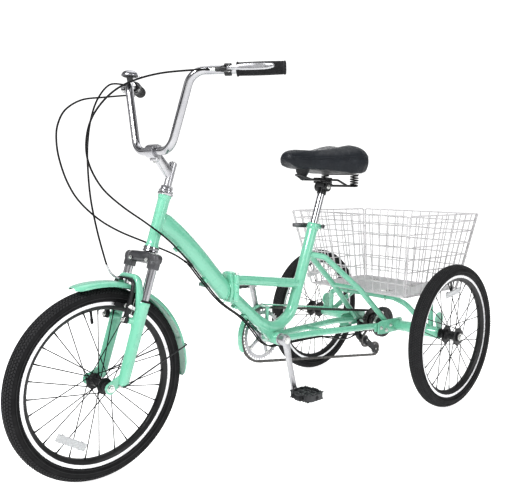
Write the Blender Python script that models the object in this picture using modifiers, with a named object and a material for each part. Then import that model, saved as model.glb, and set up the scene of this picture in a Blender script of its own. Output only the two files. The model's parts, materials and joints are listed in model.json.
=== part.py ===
"""Folding adult tricycle: one front wheel on a suspension fork, two rear wheels on a straight axle, a step-through
frame with a side-opening fold hinge, seven-speed chain drive, and a wire basket over the rear axle.

Metres. +Z is up, the tricycle faces -Y, the rider's left is +X. The origin is on the ground, midway along it.
"""

import math

import bmesh
import bpy
from mathutils import Matrix, Vector

# ---------------------------------------------------------------- driving dimensions

TYRE_R = 0.250
TYRE_WIDTH = 0.048
RIM_R = 0.2145
RIM_WIDTH = 0.026
RIM_DEPTH = 0.017
RIM_CLEAR = 0.0015
WHEELBASE = 1.196
TRACK = 0.637
SPOKES = 28
FIT = 0.0004

FRONT_AXLE = Vector((0, -WHEELBASE / 2, TYRE_R))
REAR_AXLE = Vector((0, WHEELBASE / 2, TYRE_R))
HUB_X = TRACK / 2

HEAD_BASE = Vector((0, -0.438, 0.591))
HEAD_ANGLE = math.radians(72.7)
HEAD_LENGTH = 0.152
HEAD_R = 0.0165
STEERER_R = 0.0127
QUILL_R = 0.0108
LEG_X = 0.056
LEG_FORWARD = 0.018
LEG_R = 0.0165
STANCHION_R = 0.0118
LEG_TOP = -0.146
LEG_FOOT = -0.352
FORK_TRAVEL = 0.035

BAR_R = 0.0111
BAR_CORNER_LOW = Vector((0.078, -0.431, 0.851))
BAR_CORNER_HIGH = Vector((0.147, -0.416, 1.047))
BAR_END = Vector((0.322, -0.264, 1.054))
GRIP_LENGTH = 0.118
GRIP_R = 0.0165

HINGE = Vector((0.0345, -0.160, 0.459))
HINGE_HEIGHT = 0.094
HINGE_GAP = 0.0006

SEAT_BEND = Vector((0, 0.146, 0.437))
SEAT_TOP = Vector((0, 0.216, 0.637))
SEAT_AXIS = (SEAT_TOP - SEAT_BEND).normalized()
QR = SEAT_TOP + Vector((0, 0.028, -0.009))
SEAT_TUBE_R = 0.0185
POST_R = 0.0126
CRANK = Vector((0, 0.030, 0.274))
CRANK_LENGTH = 0.168
CRANK_TILT = math.radians(10)
SHELL_R = 0.020
SHELL_HALF = 0.034
CHAIN_X = -0.050
RING_R = 0.085
COG_R = 0.028
CHAIN_HALF = 0.0045

PLATE_X = 0.082
AXLE_TUBE_R = 0.0205
AXLE_TUBE_END = 0.272
AXLE_R = 0.0083

BASKET_TOP_Z = 0.672
BASKET_FLOOR_Z = 0.384
BASKET_TOP = (0.540, 0.460)
BASKET_FLOOR = (0.440, 0.352)
BASKET_TOP_Y = 0.6155
BASKET_FLOOR_Y = 0.625

MINT = (0.235, 0.815, 0.515)
BLACK = (0.012, 0.012, 0.014)
RUBBER = (0.010, 0.010, 0.011)
GREY = (0.085, 0.085, 0.090)
SILVER = (0.62, 0.62, 0.64)
CHROME = (0.78, 0.79, 0.80)

# ---------------------------------------------------------------- scene and helpers

for old in list(bpy.data.objects):
    bpy.data.objects.remove(old, do_unlink=True)

tricycle = bpy.data.collections.new("folding_tricycle")
bpy.context.scene.collection.children.link(tricycle)
scratch = bpy.data.collections.new("construction")
bpy.context.scene.collection.children.link(scratch)


def material(name, colour, roughness, metallic):
    """A Principled material of one colour."""
    made = bpy.data.materials.new(name)
    made.use_nodes = True
    shader = made.node_tree.nodes["Principled BSDF"]
    shader.inputs["Base Color"].default_value = (*colour, 1)
    shader.inputs["Roughness"].default_value = roughness
    shader.inputs["Metallic"].default_value = metallic
    return made


def empty(name, place, turn=(0, 0, 0), parent=None):
    """A joint's frame: its origin is on the joint's axis."""
    made = bpy.data.objects.new(name, None)
    made.empty_display_size = 0.05
    tricycle.objects.link(made)
    if parent:
        made.parent = parent
        bpy.context.view_layer.update()
        made.matrix_parent_inverse = parent.matrix_world.inverted()
    made.location = place
    made.rotation_euler = turn
    bpy.context.view_layer.update()
    return made


def object_of(work, name="shape"):
    """A mesh object in the construction collection, from a bmesh."""
    mesh = bpy.data.meshes.new(name)
    work.to_mesh(mesh)
    work.free()
    made = bpy.data.objects.new(name, mesh)
    scratch.objects.link(made)
    return made


def solidified(obj):
    """The object as a plain welded mesh, with its modifiers applied and its faces pointing out."""
    bpy.context.view_layer.update()
    graph = bpy.context.evaluated_depsgraph_get()
    mesh = bpy.data.meshes.new_from_object(obj.evaluated_get(graph))
    mesh.transform(obj.matrix_world)
    work = bmesh.new()
    work.from_mesh(mesh)
    bmesh.ops.remove_doubles(work, verts=work.verts, dist=1e-6)
    bmesh.ops.recalc_face_normals(work, faces=work.faces)
    name = obj.name
    bpy.data.objects.remove(obj, do_unlink=True)
    bpy.data.meshes.remove(mesh)
    return object_of(work, name)


def turn_to(direction):
    """The rotation that takes +Z to a direction."""
    return Vector(direction).to_track_quat("Z", "Y").to_matrix().to_4x4()


def rod(start, end, radius, end_radius=None, sides=16):
    """A cylinder, or a cone, from one point to another."""
    start, end = Vector(start), Vector(end)
    work = bmesh.new()
    place = Matrix.Translation((start + end) / 2) @ turn_to(end - start)
    bmesh.ops.create_cone(
        work,
        cap_ends=True,
        segments=sides,
        radius1=radius,
        radius2=radius if end_radius is None else end_radius,
        depth=(end - start).length,
        matrix=place,
    )
    return object_of(work)


def block(centre, size, turn=Matrix.Identity(4), bevel=0.0):
    """A box, with its edges rounded if a bevel is given."""
    work = bmesh.new()
    scale = Matrix.Diagonal((*size, 1))
    bmesh.ops.create_cube(work, size=1, matrix=Matrix.Translation(centre) @ turn @ scale)
    if bevel:
        bmesh.ops.bevel(work, geom=work.edges, offset=bevel, segments=2, affect="EDGES", profile=0.5)
    return object_of(work)


def ball(centre, radius, rings=8, sides=12, squash=(1, 1, 1)):
    """A sphere, which can be squashed along each axis."""
    work = bmesh.new()
    place = Matrix.Translation(centre) @ Matrix.Diagonal((*squash, 1))
    bmesh.ops.create_uvsphere(work, u_segments=sides, v_segments=rings, radius=radius, matrix=place)
    return object_of(work)


def turned(profile, axis=(0, 0, 1), place=(0, 0, 0), steps=32, closed=True):
    """A turned shape: (radius, height) points that run down the outer side, screwed about an axis."""
    work = bmesh.new()
    points = [work.verts.new((radius, 0, height)) for radius, height in profile]
    for first, second in zip(points, points[1:] + points[:1] if closed else points[1:]):
        work.edges.new((first, second))
    made = object_of(work)
    screw = made.modifiers.new("turn", "SCREW")
    screw.steps = screw.render_steps = steps
    screw.use_merge_vertices = True
    screw.merge_threshold = 1e-6
    made.matrix_world = Matrix.Translation(place) @ turn_to(axis)
    return solidified(made)


def rounded(points, radius, steps=5):
    """The points of a path whose inner corners are rounded off by arcs of one radius."""
    points = [Vector(point) for point in points]
    path = [points[0]]
    for before, corner, after in zip(points, points[1:], points[2:]):
        back, ahead = (before - corner).normalized(), (after - corner).normalized()
        half = back.angle(ahead) / 2
        reach = min(radius / math.tan(half), 0.49 * (before - corner).length, 0.49 * (after - corner).length)
        bend = reach * math.tan(half)
        centre = corner + (back + ahead).normalized() * bend / math.sin(half)
        first, last = corner + back * reach - centre, corner + ahead * reach - centre
        for step in range(steps + 1):
            path.append(centre + first.slerp(last, step / steps) * bend)
    path.append(points[-1])
    return path


def smooth_path(points, count):
    """Points read from one smooth curve through the given ones (Catmull-Rom)."""
    points = [Vector(point) for point in points]
    padded = [2 * points[0] - points[1]] + points + [2 * points[-1] - points[-2]]
    spans = len(points) - 1
    path = []
    for index in range(count):
        where = index * spans / (count - 1)
        span = min(int(where), spans - 1)
        t = where - span
        a, b, c, d = padded[span : span + 4]
        path.append(
            0.5 * (2 * b + (c - a) * t + (2 * a - 5 * b + 4 * c - d) * t**2 + (3 * b - a - 3 * c + d) * t**3)
        )
    return path


def tube(path, radius, resolution=4, radii=None):
    """A round tube along a path: a bevelled curve with filled caps, as a mesh."""
    curve = bpy.data.curves.new("path", "CURVE")
    curve.dimensions = "3D"
    curve.bevel_depth = radius
    curve.bevel_resolution = resolution
    curve.use_fill_caps = True
    spline = curve.splines.new("POLY")
    spline.points.add(len(path) - 1)
    for index, point in enumerate(path):
        spline.points[index].co = (*point, 1)
        if radii:
            spline.points[index].radius = radii[index]
    made = bpy.data.objects.new("tube", curve)
    scratch.objects.link(made)
    return solidified(made)


def loft(rings):
    """A solid skinned over rings of equally many points, with flat caps."""
    work = bmesh.new()
    rows = [[work.verts.new(point) for point in ring] for ring in rings]
    count = len(rings[0])
    for row, after in zip(rows, rows[1:]):
        for index in range(count):
            beside = (index + 1) % count
            work.faces.new((row[index], row[beside], after[beside], after[index]))
    work.faces.new(rows[0])
    work.faces.new(rows[-1])
    bmesh.ops.recalc_face_normals(work, faces=work.faces)
    return object_of(work)


def oval(centre, across, along, half_across, half_along, count=16, power=2.0):
    """A ring of points on an oval: a power over 2 makes it squarer."""
    ring = []
    for index in range(count):
        angle = 2 * math.pi * (index + 0.5) / count
        c, s = math.cos(angle), math.sin(angle)
        u = math.copysign(abs(c) ** (2 / power), c) * half_across
        v = math.copysign(abs(s) ** (2 / power), s) * half_along
        ring.append(Vector(centre) + Vector(across) * u + Vector(along) * v)
    return ring


def band(path, half_width, half_height, closed):
    """A rectangular strip along a path that lies in a plane of one X. Its width runs along X."""
    work = bmesh.new()
    rows = []
    count = len(path)
    for index, point in enumerate(path):
        after = path[(index + 1) % count] if closed or index + 1 < count else point
        before = path[index - 1] if closed or index else point
        normal = (after - before).cross(Vector((1, 0, 0))).normalized() * half_height
        side = Vector((half_width, 0, 0))
        rows.append([work.verts.new(point + p) for p in (side + normal, normal - side, -side - normal, side - normal)])
    pairs = list(zip(rows, rows[1:] + rows[:1])) if closed else list(zip(rows, rows[1:]))
    for row, after in pairs:
        for index in range(4):
            beside = (index + 1) % 4
            work.faces.new((row[index], row[beside], after[beside], after[index]))
    if not closed:
        work.faces.new(rows[0])
        work.faces.new(rows[-1])
    bmesh.ops.recalc_face_normals(work, faces=work.faces)
    return object_of(work)


def combined(base, others, operation):
    """The base joined with, or cut by, the other shapes, which are used up."""
    for other in others:
        other.hide_render = True
        other.display_type = "WIRE"
        boolean = base.modifiers.new("boolean", "BOOLEAN")
        boolean.operation = operation
        boolean.solver = "EXACT"
        boolean.object = other
        base = solidified(base)
        bpy.data.objects.remove(other, do_unlink=True)
    return base


def fused(*pieces):
    return combined(pieces[0], pieces[1:], "UNION")


def cut(base, *cutters):
    return combined(base, cutters, "DIFFERENCE")


def part(obj, name, look, frame=None, smooth=35):
    """Names a finished piece, gives it its material, and hangs it on its joint's frame."""
    obj = solidified(obj)
    scratch.objects.unlink(obj)
    tricycle.objects.link(obj)
    obj.name = obj.data.name = name
    colour, roughness, metallic = look
    obj.data.materials.clear()
    obj.data.materials.append(material(name, colour, roughness, metallic))
    obj.data.shade_smooth()
    obj.data.set_sharp_from_angle(angle=math.radians(smooth))
    if frame:
        obj.data.transform(frame.matrix_world.inverted())
        obj.parent = frame
    return obj


PAINT = (MINT, 0.22, 0.0)
BRIGHT = (CHROME, 0.12, 1.0)
SATIN = (SILVER, 0.30, 1.0)
DARK = (BLACK, 0.45, 0.0)
PLASTIC = (BLACK, 0.38, 0.0)
TREAD = (RUBBER, 0.80, 0.0)
CAST = (GREY, 0.40, 0.4)

# ---------------------------------------------------------------- joint frames

fold_frame = empty("fold_axis", HINGE)
steer_frame = empty("steering_axis", HEAD_BASE, (HEAD_ANGLE - math.pi / 2, 0, 0), fold_frame)
STEER = steer_frame.matrix_world.copy()
TO_STEER = STEER.inverted()


def steer_point(x, forward, up):
    """A point given in the fork's own directions, from the foot of the head tube."""
    return STEER @ Vector((x, -forward, up))


AXLE_FORWARD = -(TO_STEER @ FRONT_AXLE).y
AXLE_DROP = (TO_STEER @ FRONT_AXLE).z
UP_FORK = (STEER.to_3x3() @ Vector((0, 0, 1))).normalized()
lower_frame = empty("fork_travel", steer_point(0, LEG_FORWARD, LEG_TOP), (HEAD_ANGLE - math.pi / 2, 0, 0), steer_frame)
front_wheel_frame = empty("front_wheel_axis", FRONT_AXLE, parent=lower_frame)
crank_frame = empty("crank_axis", CRANK)
left_wheel_frame = empty("left_wheel_axis", REAR_AXLE + Vector((HUB_X, 0, 0)))
right_wheel_frame = empty("right_wheel_axis", REAR_AXLE - Vector((HUB_X, 0, 0)))

# ---------------------------------------------------------------- wheels


def tyre_profile():
    """The tyre's section, outer side first: a round tread over two beads, open towards the rim's well."""
    depth = TYRE_R - RIM_R + 0.004
    middle = TYRE_R - depth / 2
    return [
        (middle + depth / 2 * math.cos(angle), TYRE_WIDTH / 2 * math.sin(angle))
        for angle in (math.pi / 2 - 2 * math.pi * (index + 0.5) / 8 for index in range(8))
    ]


def tyre():
    """One tyre about X. The round section is scaled so that its outermost ring stands at the full radius."""
    profile = tyre_profile()
    reach = max(radius for radius, _ in profile)
    profile = [(radius + TYRE_R - reach, height) for radius, height in profile]
    return turned(profile, axis=(1, 0, 0), steps=36)


def rim():
    """A box-section rim whose outer face stays clear of the tyre."""
    outer = RIM_R - RIM_CLEAR
    half = RIM_WIDTH / 2
    inner = outer - RIM_DEPTH
    return turned(
        [(outer, half), (outer, -half), (inner + 0.006, -half), (inner, -half * 0.5), (inner, half * 0.5), (inner + 0.006, half)],
        axis=(1, 0, 0),
        steps=36,
    )


def hub_with_spokes(half, flange_r, barrel_r, bore_r, drop):
    """A hub shell with two flanges, bored for its axle, and straight-pull spokes that end short of the rim."""
    flange = 0.0035
    hub = turned(
        [
            (barrel_r, half + 0.006),
            (barrel_r, half),
            (flange_r, half),
            (flange_r, half - flange),
            (barrel_r, half - flange - 0.004),
            (barrel_r, -half + flange + 0.004),
            (flange_r, -half + flange),
            (flange_r, -half),
            (barrel_r, -half),
            (barrel_r, -half - 0.006),
            (bore_r, -half - 0.006),
            (bore_r, half + 0.006),
        ],
        axis=(1, 0, 0),
        steps=16,
    )
    end_r = RIM_R - RIM_CLEAR - RIM_DEPTH - drop
    spokes = []
    for index in range(SPOKES):
        side = 1 if index % 2 else -1
        angle = 2 * math.pi * index / SPOKES
        lean = side * math.radians(24)
        foot = Vector((side * (half - flange / 2), 0, flange_r - 0.003))
        head = Vector((side * 0.003, 0, end_r))
        foot.rotate(Matrix.Rotation(angle - lean, 3, "X"))
        head.rotate(Matrix.Rotation(angle, 3, "X"))
        spokes.append(rod(foot, head, 0.0013, sides=4))
    work = bmesh.new()
    for spoke in spokes:
        work.from_mesh(spoke.data)
        bpy.data.objects.remove(spoke, do_unlink=True)
    return fused(hub, object_of(work))


def wheel(prefix, frame, half, flange_r, barrel_r, bore_r):
    """Tyre, rim and hub with spokes, on one axle frame. No piece depends on which wheel it is in."""
    centre = Matrix.Translation(frame.matrix_world.translation)
    pieces = (
        (tyre(), "tyre", TREAD),
        (rim(), "rim", DARK),
        (hub_with_spokes(half, flange_r, barrel_r, bore_r, 0.0018), "hub_and_spokes", DARK),
    )
    for obj, name, look in pieces:
        obj.data.transform(centre)
        part(obj, prefix + "_" + name, look, frame)


wheel("front", front_wheel_frame, 0.030, 0.021, 0.0125, 0.0055)
wheel("rear_left", left_wheel_frame, 0.024, 0.024, 0.0150, AXLE_R + FIT)
wheel("rear_right", right_wheel_frame, 0.024, 0.024, 0.0150, AXLE_R + FIT)

# ---------------------------------------------------------------- fork


def fork_crown():
    """The steerer tube with the crown casting that clamps both stanchions. It is hollow for the stem's quill."""
    steerer = rod(steer_point(0, 0, -0.020), steer_point(0, 0, HEAD_LENGTH + 0.018), STEERER_R)
    across, along = Vector((0, 1, 0)), Vector((0, 0, 1))
    stations = ((-0.073, 0.018, -0.030, 0.010), (-0.060, 0.018, -0.030, 0.015), (-0.030, 0.012, -0.0275, 0.0175),
                (0.0, 0.004, -0.0285, 0.0205))
    rings = []
    for x, forward, up, half in stations + tuple((-x, f, u, h) for x, f, u, h in stations[-2::-1]):
        ring = oval((x, -forward, up), across, along, half * 1.1, min(half, 0.0115 + 0.25 * half), 12, 2.6)
        rings.append([STEER @ point for point in ring])
    crown = fused(loft(rings), steerer)
    sockets = [rod(steer_point(s * LEG_X, LEG_FORWARD, -0.060), steer_point(s * LEG_X, LEG_FORWARD, -0.030),
                   STANCHION_R + 0.0045) for s in (-1, 1)]
    crown = fused(crown, *sockets)
    bores = [rod(steer_point(s * LEG_X, LEG_FORWARD, -0.070), steer_point(s * LEG_X, LEG_FORWARD, -0.032),
                 STANCHION_R + FIT) for s in (-1, 1)]
    quill = rod(steer_point(0, 0, 0.060), steer_point(0, 0, HEAD_LENGTH + 0.03), QUILL_R + FIT)
    return cut(crown, quill, *bores)


part(fork_crown(), "fork_crown", CAST, steer_frame)
for side, x in (("left", LEG_X), ("right", -LEG_X)):
    stanchion = rod(steer_point(x, LEG_FORWARD, -0.0325), steer_point(x, LEG_FORWARD, -0.235), STANCHION_R)
    part(stanchion, "stanchion_" + side, BRIGHT, steer_frame)


def lower_leg(side):
    """One lower leg, with its brake boss and the dropout that carries the axle ahead of it."""
    x = side * LEG_X
    leg = rod(steer_point(x, LEG_FORWARD, LEG_FOOT), steer_point(x, LEG_FORWARD, LEG_TOP), LEG_R * 0.92, LEG_R)
    foot = ball(steer_point(x, LEG_FORWARD, LEG_FOOT), LEG_R * 0.92)
    boss = rod(steer_point(side * (LEG_X - 0.008), LEG_FORWARD, -0.198),
               steer_point(side * (LEG_X - 0.009), 0.047, -0.198), 0.0085, sides=12)
    plate_x = side * (LEG_X - 0.002)
    arm = block(steer_point(plate_x, (LEG_FORWARD + AXLE_FORWARD) / 2, (LEG_FOOT + AXLE_DROP) / 2 + 0.004),
                (0.007, AXLE_FORWARD - LEG_FORWARD + 0.006, 0.026),
                STEER.to_3x3().to_4x4() @ Matrix.Rotation(math.radians(30), 4, "X"))
    eye = rod(FRONT_AXLE + Vector((plate_x - 0.0035, 0, 0)), FRONT_AXLE + Vector((plate_x + 0.0035, 0, 0)), 0.0125)
    return fused(leg, foot, boss, arm, eye)


def fork_lowers():
    """Both lower legs in one casting with the arch over the tyre, bored for the stanchions and the axle."""
    arch_low = [(LEG_X, LEG_FORWARD, -0.180), (LEG_X - 0.002, LEG_FORWARD + 0.012, -0.130), (0.034, 0.044, -0.083)]
    path = arch_low + [(-x, forward, up) for x, forward, up in arch_low[::-1]]
    arch = tube(rounded([steer_point(*point) for point in path], 0.020, 2), 0.0095, 2)
    casting = fused(lower_leg(1), arch, lower_leg(-1))
    bores = [rod(steer_point(s * LEG_X, LEG_FORWARD, LEG_TOP + 0.08), steer_point(s * LEG_X, LEG_FORWARD, -0.285),
                 STANCHION_R + FIT) for s in (-1, 1)]
    axle = rod(FRONT_AXLE - Vector((0.08, 0, 0)), FRONT_AXLE + Vector((0.08, 0, 0)), 0.0050 + FIT)
    return cut(casting, axle, *bores)


part(fork_lowers(), "fork_lowers", PAINT, lower_frame)

nut_profile = [(0.0001, 0.070), (0.0050, 0.070), (0.0050, 0.067), (0.0095, 0.067), (0.0105, 0.0585), (0.0050, 0.0585),
               (0.0050, -0.0585), (0.0105, -0.0585), (0.0095, -0.067), (0.0050, -0.067), (0.0050, -0.070),
               (0.0001, -0.070)]
part(turned(nut_profile, axis=(1, 0, 0), place=FRONT_AXLE, steps=12), "front_axle", SATIN, lower_frame)


def front_fender():
    """A thin crowned sheet over the front wheel, from ahead of its top to just below the axle behind it."""
    radius, first, last, steps = 0.268, -5.0, 105.0, 16
    section = [(-0.0300, -0.0120), (-0.0250, -0.0030), (-0.012, 0.0), (0.012, 0.0), (0.0250, -0.0030), (0.0300, -0.0120)]
    thickness = 0.0014
    rings = []
    for step in range(steps + 1):
        angle = math.radians(first + (last - first) * step / steps)
        out = Vector((0, math.cos(angle), math.sin(angle)))
        outer = [FRONT_AXLE + out * (radius + drop) + Vector((x, 0, 0)) for x, drop in section]
        inner = [FRONT_AXLE + out * (radius + drop - thickness) + Vector((x * 0.955, 0, 0)) for x, drop in section]
        rings.append(outer + inner[::-1])
    return loft(rings)


part(front_fender(), "front_fender", PAINT, lower_frame)

# rim brake: two arms that turn on the fork's bosses and press the rim from both sides
BRAKE_FORWARD = 0.0545
BOSS_UP = -0.198
for side, x in (("left", 1), ("right", -1)):
    pivot = steer_point(x * (LEG_X - 0.009), BRAKE_FORWARD, BOSS_UP)
    frame = empty("rim_brake_" + side, pivot, (HEAD_ANGLE - math.pi / 2, 0, 0), lower_frame)
    path = [(LEG_X - 0.009, BOSS_UP - 0.006), (LEG_X - 0.009, BOSS_UP + 0.02), (0.0465, -0.150), (0.0450, -0.114),
            (0.026, -0.0965)]
    arm = tube([steer_point(x * px, BRAKE_FORWARD, up) for px, up in path], 0.0060, 2)
    post = rod(steer_point(x * 0.044, BRAKE_FORWARD, -0.1625), steer_point(x * 0.021, BRAKE_FORWARD, -0.1625), 0.0042,
               sides=8)
    pad = block(steer_point(x * 0.0193, BRAKE_FORWARD, -0.1625), (0.0085, 0.050, 0.010), STEER.to_3x3().to_4x4(), 0.0015)
    part(fused(arm, post, pad), "rim_brake_arm_" + side, PLASTIC, frame)

# ---------------------------------------------------------------- front frame


def downtube():
    """The big oval tube that sweeps from the head tube down to the fold hinge."""
    line = ((-0.424, 0.683, 0.030, 0.017), (-0.394, 0.655, 0.030, 0.018), (-0.350, 0.621, 0.028, 0.021),
            (-0.290, 0.565, 0.027, 0.022), (-0.235, 0.507, 0.0265, 0.022), (-0.190, 0.459, 0.027, 0.022))
    rings = []
    for index, (y, z, tall, wide) in enumerate(line):
        before, after = line[max(index - 1, 0)], line[min(index + 1, len(line) - 1)]
        run = Vector((0, after[0] - before[0], after[1] - before[1])).normalized()
        rise = Vector((1, 0, 0)).cross(run)
        rings.append(oval((0, y, z), (1, 0, 0), rise, wide, tall, 16, 2.3))
    return loft(rings)


def hinge_half(direction):
    """One flange of the fold hinge: a thick oval plate that faces the other across the joint."""
    near, far = HINGE.y + direction * HINGE_GAP / 2, HINGE.y + direction * 0.013
    rings = [oval((0, y, HINGE.z), (1, 0, 0), (0, 0, 1), wide, tall, 16, 2.8)
             for y, wide, tall in ((near, 0.0300, HINGE_HEIGHT / 2), (far, 0.0285, HINGE_HEIGHT / 2 - 0.001))]
    return loft(rings)


def knuckle(low, high):
    """A barrel of the hinge about its upright pin."""
    return rod((HINGE.x, HINGE.y, low), (HINGE.x, HINGE.y, high), 0.0085)


def barrel_room(low, high):
    """The space that the other half's barrel needs to turn in."""
    return rod((HINGE.x, HINGE.y, low - FIT), (HINGE.x, HINGE.y, high + FIT), 0.0085 + 2 * FIT)


THIRDS = [HINGE.z + HINGE_HEIGHT * (fraction - 0.5) for fraction in (0.08, 0.36, 0.64, 0.92)]
PIN_R = 0.0035


def front_frame():
    """Head tube, downtube and the hinge's front flange with its middle barrel."""
    head = rod(HEAD_BASE, steer_point(0, 0, HEAD_LENGTH), HEAD_R, sides=20)
    frame = fused(downtube(), head, hinge_half(-1))
    # the flange ends square on the joint plane, so only the barrel reaches past it
    beyond = block((0, HINGE.y + 0.05 - HINGE_GAP / 2, HINGE.z), (0.2, 0.1, 0.3))
    frame = cut(frame, beyond, barrel_room(THIRDS[0], THIRDS[1]), barrel_room(THIRDS[2], THIRDS[3]))
    frame = fused(frame, knuckle(THIRDS[1] + FIT, THIRDS[2] - FIT))
    bore = rod(steer_point(0, 0, -0.05), steer_point(0, 0, HEAD_LENGTH + 0.05), STEERER_R + FIT)
    pin_hole = rod((HINGE.x, HINGE.y, THIRDS[0] - 0.01), (HINGE.x, HINGE.y, THIRDS[3] + 0.01), PIN_R + FIT, sides=12)
    return cut(frame, bore, pin_hole)


part(front_frame(), "front_frame", PAINT, fold_frame)
cup_lower = [(0.0195, -0.0008), (0.0215, -0.0045), (0.0205, -0.0105), (STEERER_R + FIT, -0.0105), (STEERER_R + FIT, -0.0008)]
cup_upper = [(0.0150, HEAD_LENGTH + 0.0160), (0.0205, HEAD_LENGTH + 0.0105), (0.0210, HEAD_LENGTH + 0.0035),
             (0.0190, HEAD_LENGTH + 0.0006), (STEERER_R + FIT, HEAD_LENGTH + 0.0006), (STEERER_R + FIT, HEAD_LENGTH + 0.0160)]
part(turned(cup_lower, axis=UP_FORK, place=HEAD_BASE, steps=20), "headset_lower", SATIN, fold_frame)
part(turned(cup_upper, axis=UP_FORK, place=HEAD_BASE, steps=20), "headset_upper", SATIN, fold_frame)

# ---------------------------------------------------------------- stem, handlebar and controls


def bar_path():
    left = [BAR_END, BAR_CORNER_HIGH, BAR_CORNER_LOW]
    return left + [Vector((-point.x, point.y, point.z)) for point in left[::-1]]


ARM = (BAR_END - BAR_CORNER_HIGH).normalized()
ARM_LENGTH = (BAR_END - BAR_CORNER_HIGH).length
ARM_FRONT = ARM.cross(Vector((0, 0, 1))).normalized()
ARM_UP = ARM_FRONT.cross(ARM).normalized()


def on_arm(along, front=0.0, up=0.0, side=1):
    """A point near one arm of the bar: how far from the corner, ahead of it and above it."""
    point = BAR_CORNER_HIGH + ARM * along + ARM_FRONT * front + ARM_UP * up
    return Vector((side * point.x, point.y, point.z))


if ARM_FRONT.y > 0:
    ARM_FRONT = -ARM_FRONT
    ARM_UP = ARM.cross(ARM_FRONT).normalized()
if ARM_UP.z < 0:
    ARM_UP = -ARM_UP

CLAMP = Vector((0, BAR_CORNER_LOW.y, BAR_CORNER_LOW.z))


def stem():
    """The quill that slides into the steerer, the arm that reaches forward, and the clamp round the bar."""
    top = TO_STEER @ Vector((0, -0.366, 0.823))
    quill = rod(steer_point(0, 0, 0.075), steer_point(0, 0, top.z), QUILL_R)
    root = steer_point(0, 0.002, top.z - 0.034)
    reach = (CLAMP - root).normalized()
    rise = Vector((1, 0, 0)).cross(reach)
    rings = [oval(root.lerp(CLAMP, share), (1, 0, 0), rise, wide, tall, 12, 2.6)
             for share, wide, tall in ((0.0, 0.010, 0.0165), (0.5, 0.0115, 0.013), (0.9, 0.0150, 0.013))]
    clamp = rod(CLAMP - Vector((0.0185, 0, 0)), CLAMP + Vector((0.0185, 0, 0)), 0.0185, sides=20)
    body = fused(quill, loft(rings), clamp)
    room = rod(CLAMP - Vector((0.05, 0, 0)), CLAMP + Vector((0.05, 0, 0)), BAR_R + FIT)
    return cut(body, room)


part(stem(), "stem", SATIN, steer_frame)
part(tube(rounded(bar_path(), 0.048, 5), BAR_R, 2), "handlebar", BRIGHT, steer_frame)

SHIFTER_LENGTH = 0.042
GRIP_START = ARM_LENGTH - GRIP_LENGTH


def sleeve(start, end, radius, side, flare=0.0):
    """A tube over the bar, open at its inner end and closed by a cap past the bar's end."""
    outer = rod(on_arm(start, side=side), on_arm(end, side=side), radius + flare, radius)
    hollow_end = min(end - 0.002, ARM_LENGTH + FIT)
    room = rod(on_arm(start - 0.02, side=side), on_arm(max(hollow_end, end + 0.02) if end < ARM_LENGTH else hollow_end,
                                                       side=side), BAR_R + FIT)
    return cut(outer, room)


part(sleeve(GRIP_START, ARM_LENGTH + 0.004, GRIP_R, 1, 0.0015), "grip_left", TREAD, steer_frame)
part(sleeve(GRIP_START + SHIFTER_LENGTH, ARM_LENGTH + 0.004, GRIP_R, -1, 0.0015), "grip_right", TREAD, steer_frame)
shifter_frame = empty("shifter_axis", on_arm(GRIP_START, side=-1), parent=steer_frame)
part(sleeve(GRIP_START + 0.001, GRIP_START + SHIFTER_LENGTH - 0.001, 0.0195, -1), "shifter_twist", TREAD, shifter_frame)

LEVER_ALONG = GRIP_START - 0.022
LEVER_PIVOT = (LEVER_ALONG + 0.006, 0.030, -0.002)


def lever_mount(side):
    """The clamp round the bar with the housing that holds the brake lever's pivot and the cable's end."""
    clamp = rod(on_arm(LEVER_ALONG - 0.009, side=side), on_arm(LEVER_ALONG + 0.009, side=side), 0.0155)
    body = rod(on_arm(LEVER_ALONG - 0.014, 0.016, -0.001, side), on_arm(LEVER_ALONG + 0.006, 0.024, -0.001, side), 0.0085)
    barrel = rod(on_arm(LEVER_ALONG - 0.043, 0.0165, -0.001, side), on_arm(LEVER_ALONG - 0.012, 0.0165, -0.001, side),
                 0.0050, 0.0062, sides=10)
    ear = rod(on_arm(LEVER_ALONG + 0.006, 0.030, 0.0065, side), on_arm(LEVER_ALONG + 0.006, 0.030, -0.0105, side), 0.0070,
              sides=12)
    mount = fused(clamp, body, barrel, ear)
    room = rod(on_arm(LEVER_ALONG - 0.03, side=side), on_arm(LEVER_ALONG + 0.03, side=side), BAR_R + FIT)
    slot = rod(on_arm(LEVER_PIVOT[0], 0.030, 0.0028, side), on_arm(LEVER_PIVOT[0], 0.030, -0.0068, side), 0.0150)
    mouth = block(on_arm(LEVER_PIVOT[0] + 0.014, 0.036, -0.002, side), (0.028, 0.028, 0.0096), arm_turn(side))
    return cut(mount, room, slot, mouth)


def arm_turn(side):
    """The rotation that lays a box's X along one arm of the bar, and its Z up from it."""
    along = Vector((side * ARM.x, ARM.y, ARM.z))
    up = Vector((side * ARM_UP.x, ARM_UP.y, ARM_UP.z))
    across = up.cross(along)
    return Matrix((along, across, up)).transposed().to_4x4()


def lever_blade(side):
    """The two-finger lever: it runs ahead of the grip, a little away from it."""
    hub = rod(on_arm(*LEVER_PIVOT[:2], 0.0010, side), on_arm(*LEVER_PIVOT[:2], -0.0050, side), 0.0060, sides=12)
    path = [(LEVER_PIVOT[0], 0.030), (LEVER_PIVOT[0] + 0.020, 0.040), (LEVER_PIVOT[0] + 0.060, 0.042),
            (LEVER_PIVOT[0] + 0.098, 0.040), (LEVER_PIVOT[0] + 0.108, 0.044)]
    points = rounded([on_arm(along, front, -0.002, side) for along, front in path], 0.02, 2)
    blade = tube(points, 0.0040, 2)
    return fused(hub, blade)


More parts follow.
